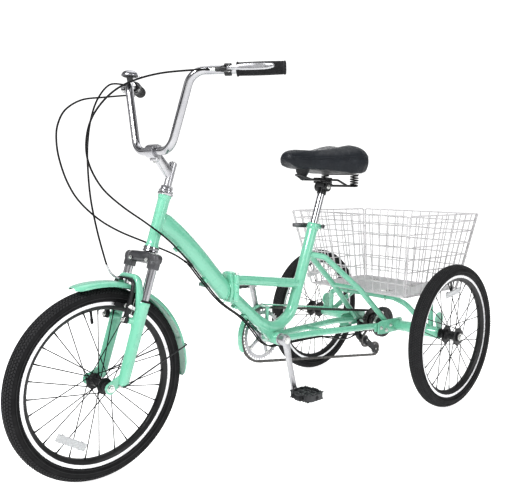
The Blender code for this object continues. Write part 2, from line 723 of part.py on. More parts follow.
for side, x in (("left", 1), ("right", -1)):
    part(lever_mount(x), "brake_lever_mount_" + side, PLASTIC, steer_frame)
    frame = empty("brake_lever_axis_" + side, on_arm(*LEVER_PIVOT, x), parent=steer_frame)
    part(lever_blade(x), "brake_lever_" + side, BRIGHT, frame)

BELL = Vector((-0.136, -0.418, 1.0665))


def bell():
    """A dome on a short foot that clamps the right riser just under its top bend."""
    dome = [(0.0001, 0.0150), (0.0120, 0.0130), (0.0200, 0.0070), (0.0235, 0.0), (0.0215, -0.0015), (0.0001, -0.0015)]
    return turned(dome, place=BELL, steps=16)


part(bell(), "bell_dome", BRIGHT, steer_frame)
bell_frame = empty("bell_striker_axis", BELL + Vector((0, 0.0, -0.006)), parent=steer_frame)
striker = fused(
    rod(BELL + Vector((0, 0, -0.0045)), BELL + Vector((0, 0, -0.0085)), 0.0060, sides=12),
    tube([BELL + Vector((0, 0, -0.0065)), BELL + Vector((0.016, 0.010, -0.0065)), BELL + Vector((0.030, 0.016, -0.005))], 0.0020, 2),
    ball(BELL + Vector((0.030, 0.016, -0.005)), 0.0036, 6, 8),
)
part(striker, "bell_striker", BRIGHT, bell_frame)

# ---------------------------------------------------------------- rear frame


# one tube: down from the hinge, round under the rider, and up as the seat tube
BENT_PATH = rounded([(0, -0.1535, 0.433), (0, -0.041, 0.339), (0, 0.030, 0.298), (0, 0.110, 0.340), SEAT_BEND, SEAT_TOP],
                    0.075, 3)


def stays(side):
    """The chainstay and the seatstay of one side, both ending on the upright plate beside the axle."""
    chain = rounded([(0.022 * side, 0.044, 0.272), (0.040 * side, 0.200, 0.270),
                     ((PLATE_X - 0.012) * side, 0.420, 0.262), ((PLATE_X - 0.0095) * side, 0.520, 0.254)], 0.08, 2)
    seat = rounded([(0.008 * side, 0.196, 0.535), (0.034 * side, 0.238, 0.526), (0.060 * side, 0.410, 0.395),
                    ((PLATE_X - 0.0085) * side, 0.545, 0.268)], 0.04, 2)
    return [tube(chain, 0.0110, 2), tube(seat, 0.0100, 2)]


def dropout(side):
    """The flat plate where both stays end. The axle carrier is bolted to its outer face."""
    plate = block((PLATE_X * side, 0.520, 0.252), (0.005, 0.100, 0.036), bevel=0.002)
    return plate


def gusset():
    """The welded box that hangs the bottom bracket under the tube's lowest bend."""
    outline = [(-0.040, 0.328), (-0.012, 0.290), (0.012, 0.266), (0.030, 0.258), (0.050, 0.268), (0.080, 0.318),
               (0.030, 0.312)]
    rings = [[Vector((x, y, z)) for y, z in outline] for x in (-0.012, 0.012)]
    return loft(rings)


def rear_frame():
    top = tube([Vector((0, -0.1535, 0.476)), Vector((0, -0.10, 0.4735)), SEAT_BEND + Vector((0, -0.002, 0.003))], 0.0155, 3)
    shell = rod(CRANK - Vector((SHELL_HALF, 0, 0)), CRANK + Vector((SHELL_HALF, 0, 0)), SHELL_R, sides=20)
    collar = rod(SEAT_TOP - SEAT_AXIS * 0.020, SEAT_TOP, SEAT_TUBE_R + 0.0025, sides=20)
    frame = fused(tube(BENT_PATH, SEAT_TUBE_R, 3), top, hinge_half(1), gusset(), shell, collar)
    for side in (1, -1):
        frame = fused(frame, *stays(side), dropout(side))
    brace = tube([Vector((-0.062, 0.395, 0.405)), Vector((0.062, 0.395, 0.405))], 0.0075, 2)
    bridge = tube([Vector((-0.045, 0.240, 0.2695)), Vector((0.045, 0.240, 0.2695))], 0.0080, 2)
    frame = fused(frame, brace, bridge)
    before = block((0, HINGE.y - 0.05 + HINGE_GAP / 2, HINGE.z), (0.2, 0.1, 0.3))
    frame = cut(frame, before, barrel_room(THIRDS[1], THIRDS[2]))
    pin_hole = rod((HINGE.x, HINGE.y, THIRDS[0] - 0.01), (HINGE.x, HINGE.y, THIRDS[3] + 0.01), PIN_R + FIT, sides=12)
    frame = cut(fused(frame, knuckle(*THIRDS[0:2]), knuckle(*THIRDS[2:4])), pin_hole)
    clamp_bolt = rod(QR - Vector((0.0150, 0, 0)), QR + Vector((0.0215, 0, 0)), 0.0036, sides=10)
    clamp_nut = rod(QR + Vector((0.0150, 0, 0)), QR + Vector((0.0215, 0, 0)), 0.0070, sides=12)
    clamp_ear = block(QR + Vector((0, -0.006, 0)), (0.022, 0.018, 0.016), turn_to(SEAT_AXIS))
    frame = fused(frame, clamp_ear, clamp_bolt, clamp_nut)
    seat_bore = rod(SEAT_TOP + SEAT_AXIS * 0.02, SEAT_BEND + SEAT_AXIS * 0.02, POST_R + FIT)
    spindle_bore = rod(CRANK - Vector((0.05, 0, 0)), CRANK + Vector((0.05, 0, 0)), 0.0088)
    slit = block(SEAT_TOP + Vector((0, 0.012, -0.012)), (0.003, 0.024, 0.05), turn_to(SEAT_AXIS))
    return cut(frame, seat_bore, spindle_bore, slit)


part(rear_frame(), "rear_frame", PAINT)
pin_head = HINGE.z + HINGE_HEIGHT / 2
part(
    turned([(0.0001, pin_head), (0.0062, pin_head), (0.0062, THIRDS[3] + FIT), (PIN_R, THIRDS[3] + FIT),
            (PIN_R, THIRDS[0] - 0.002), (0.0001, THIRDS[0] - 0.002)], place=(HINGE.x, HINGE.y, 0), steps=12),
    "hinge_pin", SATIN,
)


def carrier_side(side):
    """One half of the carrier: the axle tube with its flange, and the outer plate that takes the bolts."""
    flange_x = (PLATE_X + 0.0058) * side
    tube_half = rod((flange_x, REAR_AXLE.y, REAR_AXLE.z), (AXLE_TUBE_END * side, REAR_AXLE.y, REAR_AXLE.z), AXLE_TUBE_R,
                    sides=20)
    flange = block((flange_x, 0.556, 0.252), (0.005, 0.150, 0.050), bevel=0.002)
    disc_x = AXLE_TUBE_END - 0.012
    disc = rod((disc_x * side, REAR_AXLE.y + 0.004, 0.300), ((disc_x + 0.006) * side, REAR_AXLE.y + 0.004, 0.300), 0.024,
               sides=20)
    web = block(((disc_x + 0.003) * side, REAR_AXLE.y + 0.002, 0.276), (0.005, 0.030, 0.046))
    return fused(tube_half, flange, disc, web)


def arch(y_top, y_foot):
    """A bent tube under the basket, from one axle tube up and over to the other."""
    half = [(0.228, y_foot, 0.262), (0.172, y_top, 0.351), (0.120, y_top, 0.3655)]
    path = half + [(-x, y, z) for x, y, z in half[::-1]]
    return tube(rounded(path, 0.035, 2), 0.0095, 2)


def axle_carrier():
    """Both axle tubes, tied together by the arches that hold the basket up."""
    carrier = fused(carrier_side(1), arch(0.524, 0.590), carrier_side(-1), arch(0.690, 0.606))
    rails = [tube([Vector((x, 0.505, 0.3655)), Vector((x, 0.710, 0.3655))], 0.0070, 2) for x in (-0.085, 0.085)]
    carrier = fused(carrier, *rails)
    through = rod(REAR_AXLE - Vector((0.3, 0, 0)), REAR_AXLE + Vector((0.3, 0, 0)), AXLE_R + FIT)
    hollows = [rod((side * (PLATE_X + 0.010), REAR_AXLE.y, REAR_AXLE.z),
                   (side * (AXLE_TUBE_END - 0.012), REAR_AXLE.y, REAR_AXLE.z), AXLE_TUBE_R - 0.0025) for side in (1, -1)]
    return cut(carrier, through, *hollows)


part(axle_carrier(), "axle_carrier", PAINT)

axle_end = TRACK / 2 + 0.041
part(
    turned(
        [(0.0001, axle_end), (0.0060, axle_end), (0.0060, axle_end - 0.003), (0.0120, axle_end - 0.003),
         (0.0120, axle_end - 0.0105), (AXLE_R, axle_end - 0.0105), (AXLE_R, -axle_end + 0.0105),
         (0.0120, -axle_end + 0.0105), (0.0120, -axle_end + 0.003), (0.0060, -axle_end + 0.003),
         (0.0060, -axle_end), (0.0001, -axle_end)],
        axis=(1, 0, 0), place=REAR_AXLE, steps=12,
    ),
    "rear_axle", SATIN, right_wheel_frame,
)


def brake_drum_housing():
    """The band brake's fixed cover, left of the middle of the axle."""
    return turned([(0.0560, 0.034), (0.0575, 0.030), (0.0575, 0.013), (0.0545, 0.011), (AXLE_R + FIT, 0.011),
                   (AXLE_R + FIT, 0.034)], axis=(1, 0, 0), place=REAR_AXLE, steps=24)


part(brake_drum_housing(), "band_brake", DARK)
BRAKE_ARM = Vector((0.040, 0.566, 0.290))
band_frame = empty("band_brake_axis", BRAKE_ARM)
band_arm = fused(rod(BRAKE_ARM - Vector((0.0035, 0, 0)), BRAKE_ARM + Vector((0.0035, 0, 0)), 0.0075, sides=12),
                 tube([BRAKE_ARM, BRAKE_ARM + Vector((0, -0.030, -0.012)), BRAKE_ARM + Vector((0, -0.046, -0.030))], 0.0034, 2))
part(band_arm, "band_brake_arm", SATIN, band_frame)

# ---------------------------------------------------------------- basket


def basket():
    """The wire basket as a thin-walled open box that flares upwards."""
    work = bmesh.new()
    wall = 0.0035
    levels = ((BASKET_FLOOR_Z, BASKET_FLOOR, BASKET_FLOOR_Y), (BASKET_TOP_Z, BASKET_TOP, BASKET_TOP_Y))
    rings = []
    for inset in (0.0, wall):
        for z, (wide, long), middle in levels:
            height = z + (wall if inset and z == BASKET_FLOOR_Z else 0.0)
            rings.append(
                [work.verts.new((x * (wide / 2 - inset), middle + y * (long / 2 - inset), height))
                 for x, y in ((-1, -1), (1, -1), (1, 1), (-1, 1))]
            )
    outer_low, outer_high, inner_low, inner_high = rings
    for first, second in ((outer_low, outer_high), (outer_high, inner_high), (inner_high, inner_low)):
        for index in range(4):
            beside = (index + 1) % 4
            work.faces.new((first[index], first[beside], second[beside], second[index]))
    work.faces.new(outer_low)
    work.faces.new(inner_low)
    bmesh.ops.recalc_face_normals(work, faces=work.faces)
    return object_of(work)


part(basket(), "basket", (SILVER, 0.35, 0.8))

# ---------------------------------------------------------------- cranks and pedals

CRANK_DOWN = Vector((0, math.sin(CRANK_TILT), -math.cos(CRANK_TILT)))
SPINDLE_R = 0.0083
part(rod(CRANK - Vector((0.062, 0, 0)), CRANK + Vector((0.062, 0, 0)), SPINDLE_R), "crank_spindle", SATIN, crank_frame)


def crank_arm(side):
    """A crank arm with its boss on the spindle and the pedal's axle at its far end."""
    sign = 1 if side > 0 else -1
    down = CRANK_DOWN * sign
    inner, outer = 0.0365 * side, 0.0655 * side
    eye = CRANK + down * CRANK_LENGTH
    boss = rod(CRANK + Vector((inner, 0, 0)), CRANK + Vector((outer, 0, 0)), 0.0165, 0.0150 if side > 0 else 0.0165)
    across = Vector((0, down.z, -down.y))
    rings = [oval(CRANK + down * along + Vector((x * side, 0, 0)), (1, 0, 0), across, thick, wide, 10, 3)
             for along, x, thick, wide in ((0.0, 0.059, 0.0065, 0.0125), (0.06, 0.0615, 0.0060, 0.0105),
                                           (CRANK_LENGTH, 0.072, 0.0060, 0.0105))]
    end = rod(eye + Vector((0.065 * side, 0, 0)), eye + Vector((0.079 * side, 0, 0)), 0.0115)
    axle = rod(eye + Vector((0.070 * side, 0, 0)), eye + Vector((0.168 * side, 0, 0)), 0.0042, sides=10)
    arm = fused(boss, loft(rings), end, axle)
    room = rod(CRANK + Vector((0.02 * side, 0, 0)), CRANK + Vector((0.0625 * side, 0, 0)), SPINDLE_R + FIT)
    return cut(arm, room)


part(crank_arm(1), "crank_left", SATIN, crank_frame)


def chainring():
    """A toothed ring on a five-arm spider, bored to sit on the right crank's boss."""
    teeth, root_r, tip_r = 44, RING_R - 0.0070, RING_R - 0.0008
    curve = bpy.data.curves.new("ring", "CURVE")
    curve.dimensions = "2D"
    curve.fill_mode = "BOTH"
    curve.extrude = 0.0013
    outlines = [[(r * math.cos(a), r * math.sin(a)) for tooth in range(teeth)
                 for r, a in ((root_r, 2 * math.pi * (tooth - 0.25) / teeth), (tip_r, 2 * math.pi * (tooth + 0.25) / teeth))]]
    for arm in range(5):
        start, end = 2 * math.pi * (arm + 0.16) / 5, 2 * math.pi * (arm + 0.84) / 5
        steps = 6
        outer = [(0.068, start + (end - start) * step / steps) for step in range(steps + 1)]
        inner = [(0.027, end - (end - start) * (0.08 + 0.84 * step / steps)) for step in range(steps + 1)]
        outlines.append([(r * math.cos(a), r * math.sin(a)) for r, a in outer + inner])
    outlines.append([(0.0169 * math.cos(2 * math.pi * i / 20), 0.0169 * math.sin(2 * math.pi * i / 20)) for i in range(20)])
    for outline in outlines:
        spline = curve.splines.new("POLY")
        spline.use_cyclic_u = True
        spline.points.add(len(outline) - 1)
        for index, (u, v) in enumerate(outline):
            spline.points[index].co = (u, v, 0, 1)
    made = bpy.data.objects.new("ring", curve)
    scratch.objects.link(made)
    made.matrix_world = Matrix.Translation(CRANK + Vector((CHAIN_X, 0, 0))) @ turn_to((1, 0, 0))
    return solidified(made)


part(chainring(), "chainring", SATIN, crank_frame)
part(crank_arm(-1), "crank_right", SATIN, crank_frame)

for side, x in (("left", 1), ("right", -1)):
    eye = CRANK + CRANK_DOWN * x * CRANK_LENGTH
    frame = empty("pedal_axis_" + side, eye + Vector((0.126 * x, 0, 0)), parent=crank_frame)
    body = block(eye + Vector((0.1265 * x, 0, 0)), (0.088, 0.092, 0.024), bevel=0.006)
    hole = rod(eye + Vector((0.05 * x, 0, 0)), eye + Vector((0.20 * x, 0, 0)), 0.0046, sides=12)
    part(cut(body, hole), "pedal_" + side, PLASTIC, frame)

# ---------------------------------------------------------------- freewheel, derailleur and chain


def freewheel():
    """Seven stepped sprockets on one body, the smallest outermost under the chain."""
    profile = [(0.0165, -0.0245)]
    for cog in range(7):
        outer = 0.0490 - (0.0490 - COG_R) * cog / 6
        left = -0.0265 - cog * 0.0037
        profile += [(outer, left), (outer, left - 0.0019), (outer - 0.0065, left - 0.0019)]
        if cog < 6:
            profile.append((outer - 0.0065, left - 0.0037))
    profile += [(AXLE_R + FIT, profile[-1][1]), (AXLE_R + FIT, -0.0245)]
    return turned(profile, axis=(1, 0, 0), place=REAR_AXLE, steps=16)


cog_frame = empty("freewheel_axis", REAR_AXLE + Vector((CHAIN_X, 0, 0)))
part(freewheel(), "freewheel", SATIN, cog_frame)

JOCKEY_R = 0.0195
UPPER_JOCKEY = Vector((CHAIN_X, 0.592, 0.166))
LOWER_JOCKEY = Vector((CHAIN_X, 0.652, 0.122))
for name, centre in (("upper", UPPER_JOCKEY), ("lower", LOWER_JOCKEY)):
    frame = empty("jockey_" + name + "_axis", centre)
    wheel_shape = turned([(JOCKEY_R, 0.0016), (JOCKEY_R, -0.0016), (0.0135, -0.0026), (0.0034, -0.0026), (0.0034, 0.0026),
                          (0.0135, 0.0026)], axis=(1, 0, 0), place=centre, steps=22)
    part(wheel_shape, "jockey_" + name, PLASTIC, frame)


def derailleur():
    """The hanger, the parallelogram body and the cage plates that carry both jockey wheels."""
    hanger = tube([Vector((-PLATE_X + 0.0052, 0.575, 0.242)), Vector((-0.0745, 0.590, 0.222))], 0.0055, 2)
    body = loft([oval((x, y, z), (1, 0, 0), (0, 0.7, 0.7), wide, tall, 10, 3) for x, y, z, wide, tall in
                 ((-0.0745, 0.590, 0.226, 0.010, 0.012), (-0.071, 0.566, 0.196, 0.011, 0.014),
                  (-0.0655, 0.590, 0.166, 0.008, 0.013))])
    plates = []
    for offset in (-0.0072, 0.0062):
        run = (LOWER_JOCKEY - UPPER_JOCKEY).normalized()
        centre = (UPPER_JOCKEY + LOWER_JOCKEY) / 2 + Vector((offset, 0, 0))
        angle = math.atan2(run.z, run.y)
        plates.append(block(centre, (0.0016, (LOWER_JOCKEY - UPPER_JOCKEY).length + 0.020, 0.017),
                            Matrix.Rotation(angle, 4, "X")))
    bolts = [rod(centre + Vector((reach, 0, 0)), centre + Vector((0.0075, 0, 0)), 0.0030, sides=10)
             for centre, reach in ((UPPER_JOCKEY, -0.0170), (LOWER_JOCKEY, -0.0090))]
    return fused(body, hanger, plates[0], *bolts, plates[1])


part(derailleur(), "rear_derailleur", PLASTIC)


def belt_path(wheels):
    """A closed path that wraps round wheels of (y, z, radius, turn), a turn of -1 passing on the other side."""
    spans = []
    for (y1, z1, r1, turn1), (y2, z2, r2, turn2) in zip(wheels, wheels[1:] + wheels[:1]):
        gap, bearing = math.hypot(y2 - y1, z2 - z1), math.atan2(z2 - z1, y2 - y1)
        lean = math.asin((turn1 * r1 - turn2 * r2) / gap)
        direction = bearing + lean
        away = direction - math.pi / 2
        spans.append((away, (y1 + turn1 * r1 * math.cos(away), z1 + turn1 * r1 * math.sin(away)),
                      (y2 + turn2 * r2 * math.cos(away), z2 + turn2 * r2 * math.sin(away))))
    path = []
    for index, (y, z, radius, turn) in enumerate(wheels):
        arrive, leave = spans[index - 1][0], spans[index][0]
        sweep = (leave - arrive) * turn % (2 * math.pi)
        steps = max(2, round(sweep / math.radians(16)))
        for step in range(steps + 1):
            angle = arrive + turn * sweep * step / steps
            path.append(Vector((CHAIN_X, y + turn * radius * math.cos(angle), z + turn * radius * math.sin(angle))))
    return path


def chain():
    """The chain as a closed strip that runs just outside the sprockets' teeth."""
    clear = CHAIN_HALF + FIT
    wheels = [(CRANK.y, CRANK.z, RING_R + clear, -1), (REAR_AXLE.y, REAR_AXLE.z, COG_R + clear, -1),
              (UPPER_JOCKEY.y, UPPER_JOCKEY.z, JOCKEY_R + clear, 1), (LOWER_JOCKEY.y, LOWER_JOCKEY.z, JOCKEY_R + clear, -1)]
    return band(belt_path(wheels), 0.0028, CHAIN_HALF, True)


part(chain(), "chain", (GREY, 0.35, 0.9))


def chain_guard():
    """A channel over the top run, and a curved strip ahead of the ring, bolted to the frame's bend."""
    strip_r = RING_R + 0.0165
    angles = [math.radians(a) for a in range(205, 84, -12)]
    front = [CRANK + Vector((CHAIN_X, strip_r * math.cos(a), strip_r * math.sin(a))) for a in angles]
    tail = [Vector((CHAIN_X, 0.160, 0.3560)), Vector((CHAIN_X, 0.375, 0.3235))]
    strip = band(front + tail, 0.0085, 0.0008, False)
    tab = block((-0.0280, 0.014, 0.3738), (0.044, 0.018, 0.0030))
    post = rod((-0.0115, 0.014, 0.3740), (-0.0115, 0.014, 0.3200), 0.0050, sides=12)
    return cut(fused(strip, tab, post), tube(BENT_PATH, SEAT_TUBE_R + FIT, 3))


part(chain_guard(), "chain_guard", PAINT)

# ---------------------------------------------------------------- saddle and seatpost

POST_TOP = SEAT_TOP + SEAT_AXIS * 0.128
seat_frame = empty("seatpost_axis", SEAT_TOP)


def seatpost():
    """The post, with the clamp on its head that grips the saddle's rails."""
    post = rod(SEAT_TOP - SEAT_AXIS * 0.150, POST_TOP, POST_R, sides=20)
    head = rod(POST_TOP + Vector((-0.024, 0, 0.004)), POST_TOP + Vector((0.024, 0, 0.004)), 0.0160, sides=16)
    return fused(post, head)


part(seatpost(), "seatpost", BRIGHT, seat_frame)


def saddle_frame():
    """Two rails under the saddle, tied by bars at the nose and at the rear, with a coil spring's post on each side."""
    z = POST_TOP.z + 0.0285
    rails = [tube(rounded([(x * 0.35, POST_TOP.y - 0.125, z + 0.014), (x, POST_TOP.y - 0.080, z),
                           (x, POST_TOP.y + 0.055, z), (x * 1.6, POST_TOP.y + 0.088, z - 0.018)], 0.02, 2), 0.0038, 2)
             for x in (0.021, -0.021)]
    nose = rod((-0.010, POST_TOP.y - 0.125, z + 0.014), (0.010, POST_TOP.y - 0.125, z + 0.014), 0.0038, sides=8)
    rear = rod((-0.075, POST_TOP.y + 0.088, z - 0.018), (0.075, POST_TOP.y + 0.088, z - 0.018), 0.0045, sides=8)
    springs = [rod((x, POST_TOP.y + 0.088, z - 0.022), (x, POST_TOP.y + 0.088, z + 0.018), 0.0150, sides=14)
               for x in (0.066, -0.066)]
    return fused(rails[0], nose, rails[1], rear, *springs)


part(saddle_frame(), "saddle_frame", (BLACK, 0.35, 0.6), seat_frame)


def saddle():
    """A wide cruiser saddle as a plain crowned solid: narrow nose, broad rear."""
    stations = ((0.064, 0.016, 0.836, 0.864), (0.073, 0.031, 0.826, 0.876), (0.095, 0.040, 0.822, 0.882),
                (0.150, 0.052, 0.822, 0.883), (0.210, 0.075, 0.820, 0.884), (0.265, 0.104, 0.814, 0.892),
                (0.310, 0.121, 0.809, 0.904), (0.350, 0.123, 0.807, 0.911), (0.378, 0.107, 0.811, 0.909),
                (0.392, 0.074, 0.822, 0.898))
    rings = []
    for y, half, low, high in stations:
        middle = low + 0.38 * (high - low)
        ring = oval((0, y, middle), (1, 0, 0), (0, 0, 1), half, high - middle, 16, 2.6)
        rings.append([Vector((p.x, p.y, max(p.z, low))) for p in ring])
    return loft(rings)


part(saddle(), "saddle", (BLACK, 0.6, 0.0), seat_frame)

# ---------------------------------------------------------------- quick-release levers

qr_frame = empty("seat_clamp_axis", QR - Vector((0.0225, 0, 0)))


def seat_clamp_lever():
    """The quick-release lever: a cam barrel that turns beside the clamp's bolt, and its handle."""
    centre = QR - Vector((0.0225, 0, 0))
    barrel = rod(centre - SEAT_AXIS * 0.0075, centre + SEAT_AXIS * 0.0075, 0.0065, sides=12)
    handle = rounded([centre, centre + Vector((-0.0060, -0.0140, 0.002)), centre + Vector((-0.0300, -0.0760, 0.004))], 0.01, 2)
    return fused(barrel, tube(handle, 0.0042, 2))


part(seat_clamp_lever(), "seat_clamp_lever", PLASTIC, qr_frame)

LATCH = Vector((-0.0365, HINGE.y - 0.009, HINGE.z))
latch_frame = empty("fold_latch_axis", LATCH)
latch_frame.parent = fold_frame
latch_frame.matrix_parent_inverse = fold_frame.matrix_world.inverted()
latch = fused(
    rod(LATCH + Vector((0, 0, -0.011)), LATCH + Vector((0, 0, 0.011)), 0.0052, sides=12),
    tube(rounded([LATCH, LATCH + Vector((-0.010, -0.012, 0)), LATCH + Vector((-0.006, -0.072, 0.010))], 0.008, 2), 0.0048, 2),
)
part(latch, "fold_latch", SATIN, latch_frame)

# ---------------------------------------------------------------- brake and shift cables

CABLE_R = 0.0024
UNDER = 0.0065


def cable(name, points, count, frame=None):
    """One run of outer cable, as a smooth round tube through its points."""
    part(tube(smooth_path(points, count), CABLE_R, 1), name, PLASTIC, frame, 60)


def barrel_end(side):
    """Where a brake cable leaves the lever's barrel adjuster, and a point a little further along its line."""
    along = LEVER_ALONG - 0.0440
    return [on_arm(along, 0.0165, -0.001, side), on_arm(along - 0.022, 0.0185, -0.001, side)]


cable(
    "rear_brake_cable_front",
    barrel_end(1) + [(0.115, -0.486, 1.036), (0.075, -0.548, 1.012), (0.050, -0.592, 0.978), (0.034, -0.628, 0.925),
                     (0.026, -0.641, 0.868), (0.024, -0.634, 0.812), (0.025, -0.600, 0.754), (0.026, -0.545, 0.708),
                     (0.026, -0.470, 0.661), (0.0255, -0.405, 0.617), (0.0150, -0.350, 0.574), (UNDER, -0.3125, 0.5415)],
    34,
    steer_frame,
)
cable(
    "shift_cable_front",
    [on_arm(GRIP_START + 0.010, 0.004, -0.0235, -1), on_arm(GRIP_START - 0.024, 0.010, -0.0240, -1),
     (-0.190, -0.470, 1.006), (-0.160, -0.553, 0.988), (-0.130, -0.616, 0.954), (-0.105, -0.650, 0.912),
     (-0.085, -0.664, 0.870), (-0.070, -0.664, 0.822), (-0.055, -0.651, 0.766), (-0.052, -0.621, 0.718),
     (-0.046, -0.571, 0.672), (-0.036, -0.515, 0.638), (-0.0285, -0.439, 0.606), (-0.0260, -0.396, 0.588),
     (-0.0150, -0.350, 0.5665), (-UNDER, -0.3125, 0.5415)],
    38,
    steer_frame,
)
cable(
    "front_brake_cable",
    barrel_end(-1) + [(-0.152, -0.474, 1.036), (-0.132, -0.522, 0.990), (-0.110, -0.555, 0.930), (-0.085, -0.578, 0.862),
                      (-0.062, -0.590, 0.797), (-0.045, -0.592, 0.722), (-0.026, -0.586, 0.646), (-0.010, -0.577, 0.584),
                      (-0.003, -0.569, 0.549), (0.002, -0.560, 0.531), (0.012, -0.547, 0.521), (0.022, -0.537, 0.5185)],
    30,
    steer_frame,
)
under_frame = [(-0.3105, 0.5395), (-0.2600, 0.4830), (-0.1930, 0.4150), (-0.1080, 0.3560), (-0.0580, 0.3060),
               (-0.0240, 0.2680), (0.0120, 0.2480), (0.0440, 0.2450), (0.1060, 0.2445), (0.2500, 0.2410)]
cable(
    "rear_brake_cable_rear",
    [(UNDER, y, z) for y, z in under_frame] + [(0.014, 0.340, 0.232), (0.030, 0.440, 0.232), (0.040, 0.502, 0.246)],
    30,
)
cable(
    "shift_cable_rear",
    [(-UNDER, y, z) for y, z in under_frame] + [(-0.012, 0.320, 0.224), (-0.030, 0.400, 0.205), (-0.056, 0.470, 0.188),
                                                (-0.074, 0.525, 0.182), (-0.0755, 0.549, 0.186)],
    32,
)

for helper in list(scratch.objects):
    bpy.data.objects.remove(helper, do_unlink=True)
bpy.data.collections.remove(scratch)
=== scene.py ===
"""The looks of a folding adult tricycle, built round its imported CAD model.

Metres. +Z is up, the tricycle faces -Y and the rider's left is +X, as in the CAD model.
"""

import json
import math

import bmesh
import bpy
from mathutils import Matrix, Vector
from mathutils.bvhtree import BVHTree

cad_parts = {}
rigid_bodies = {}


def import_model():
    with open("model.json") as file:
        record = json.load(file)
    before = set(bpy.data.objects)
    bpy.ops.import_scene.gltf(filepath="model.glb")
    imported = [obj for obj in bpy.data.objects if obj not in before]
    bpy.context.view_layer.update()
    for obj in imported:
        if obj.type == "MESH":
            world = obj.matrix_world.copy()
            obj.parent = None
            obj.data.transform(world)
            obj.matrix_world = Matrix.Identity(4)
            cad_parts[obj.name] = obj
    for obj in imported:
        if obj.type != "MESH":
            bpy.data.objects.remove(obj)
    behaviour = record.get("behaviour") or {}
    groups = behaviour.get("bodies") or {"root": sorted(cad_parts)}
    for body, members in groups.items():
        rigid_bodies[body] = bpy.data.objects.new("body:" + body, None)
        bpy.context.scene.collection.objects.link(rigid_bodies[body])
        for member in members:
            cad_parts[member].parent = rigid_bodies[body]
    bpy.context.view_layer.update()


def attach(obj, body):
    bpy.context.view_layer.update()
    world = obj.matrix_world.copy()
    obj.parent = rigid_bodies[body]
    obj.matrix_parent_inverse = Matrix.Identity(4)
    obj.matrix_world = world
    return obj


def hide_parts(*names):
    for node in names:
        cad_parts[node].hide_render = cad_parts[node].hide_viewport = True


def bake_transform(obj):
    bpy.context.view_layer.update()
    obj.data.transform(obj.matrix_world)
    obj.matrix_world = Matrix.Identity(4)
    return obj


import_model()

# ---------------------------------------------------------------- dimensions, as in the CAD model

FRONT_AXLE = Vector((0, -0.598, 0.250))
REAR_AXLE = Vector((0, 0.598, 0.250))
HUB_X = 0.3185
SPOKES = 28
AXLE_R = 0.0083

HEAD_BASE = Vector((0, -0.438, 0.591))
HEAD_TURN = math.radians(72.7 - 90)
HEAD_LENGTH = 0.152
STEERER_R = 0.0127
QUILL_R = 0.0108
LEG_X = 0.056
LEG_FORWARD = 0.018
LEG_TOP = -0.146
LEG_FOOT = -0.352
STANCHION_R = 0.0118

BAR_R = 0.0111
BAR_CORNER_LOW = Vector((0.078, -0.431, 0.851))
BAR_CORNER_HIGH = Vector((0.147, -0.416, 1.047))
BAR_END = Vector((0.322, -0.264, 1.054))
GRIP_LENGTH = 0.118
GRIP_R = 0.0165
SHIFTER_LENGTH = 0.042

HINGE = Vector((0.0345, -0.160, 0.459))
HINGE_HEIGHT = 0.094
HINGE_GAP = 0.0006
SEAT_BEND = Vector((0, 0.146, 0.437))
SEAT_TOP = Vector((0, 0.216, 0.637))
SEAT_AXIS = (SEAT_TOP - SEAT_BEND).normalized()
QR = SEAT_TOP + Vector((0, 0.028, -0.009))
SEAT_TUBE_R = 0.0185
POST_R = 0.0126
POST_TOP = SEAT_TOP + SEAT_AXIS * 0.128
CRANK = Vector((0, 0.030, 0.274))
CRANK_LENGTH = 0.168
CRANK_DOWN = Vector((0, math.sin(math.radians(10)), -math.cos(math.radians(10))))
SHELL_R = 0.020
SHELL_HALF = 0.034
CHAIN_X = -0.050
RING_R = 0.085
COG_R = 0.028
JOCKEY_R = 0.0195
UPPER_JOCKEY = Vector((CHAIN_X, 0.592, 0.166))
LOWER_JOCKEY = Vector((CHAIN_X, 0.652, 0.122))
PLATE_X = 0.082
AXLE_TUBE_R = 0.0205
AXLE_TUBE_END = 0.272

BASKET_TOP_Z = 0.672
BASKET_FLOOR_Z = 0.384
BASKET_TOP = (0.540, 0.460)
BASKET_FLOOR = (0.440, 0.352)
BASKET_TOP_Y = 0.6155
BASKET_FLOOR_Y = 0.625

X, Y, Z = Vector((1, 0, 0)), Vector((0, 1, 0)), Vector((0, 0, 1))
STEER = Matrix.Translation(HEAD_BASE) @ Matrix.Rotation(HEAD_TURN, 4, "X")
UP_FORK = STEER.to_3x3() @ Z
AHEAD = STEER.to_3x3() @ -Y
SIDES = (("left", 1), ("right", -1))
TAU = 2 * math.pi


def steer_point(x, forward, up):
    """A point given in the fork's own directions, from the foot of the head tube."""
    return STEER @ Vector((x, -forward, up))


def out_at(angle):
    """The direction square to X that lies at an angle up from +Y."""
    return Vector((0, math.cos(angle), math.sin(angle)))


def round_turn(count):
    """The angles of even steps round a circle."""
    return [TAU * index / count for index in range(count)]


def between(table, share):
    """The row at a share of the way down a table, mixed from the two beside it."""
    where = share * (len(table) - 1)
    low = min(int(where), len(table) - 2)
    t = where - low
    return [a * (1 - t) + b * t for a, b in zip(table[low], table[low + 1])]


# ---------------------------------------------------------------- camera, light and floor

scene = bpy.context.scene
for stray in list(bpy.data.objects):
    if stray.type in ("LIGHT", "CAMERA") or stray.name == "Cube":
        bpy.data.objects.remove(stray, do_unlink=True)

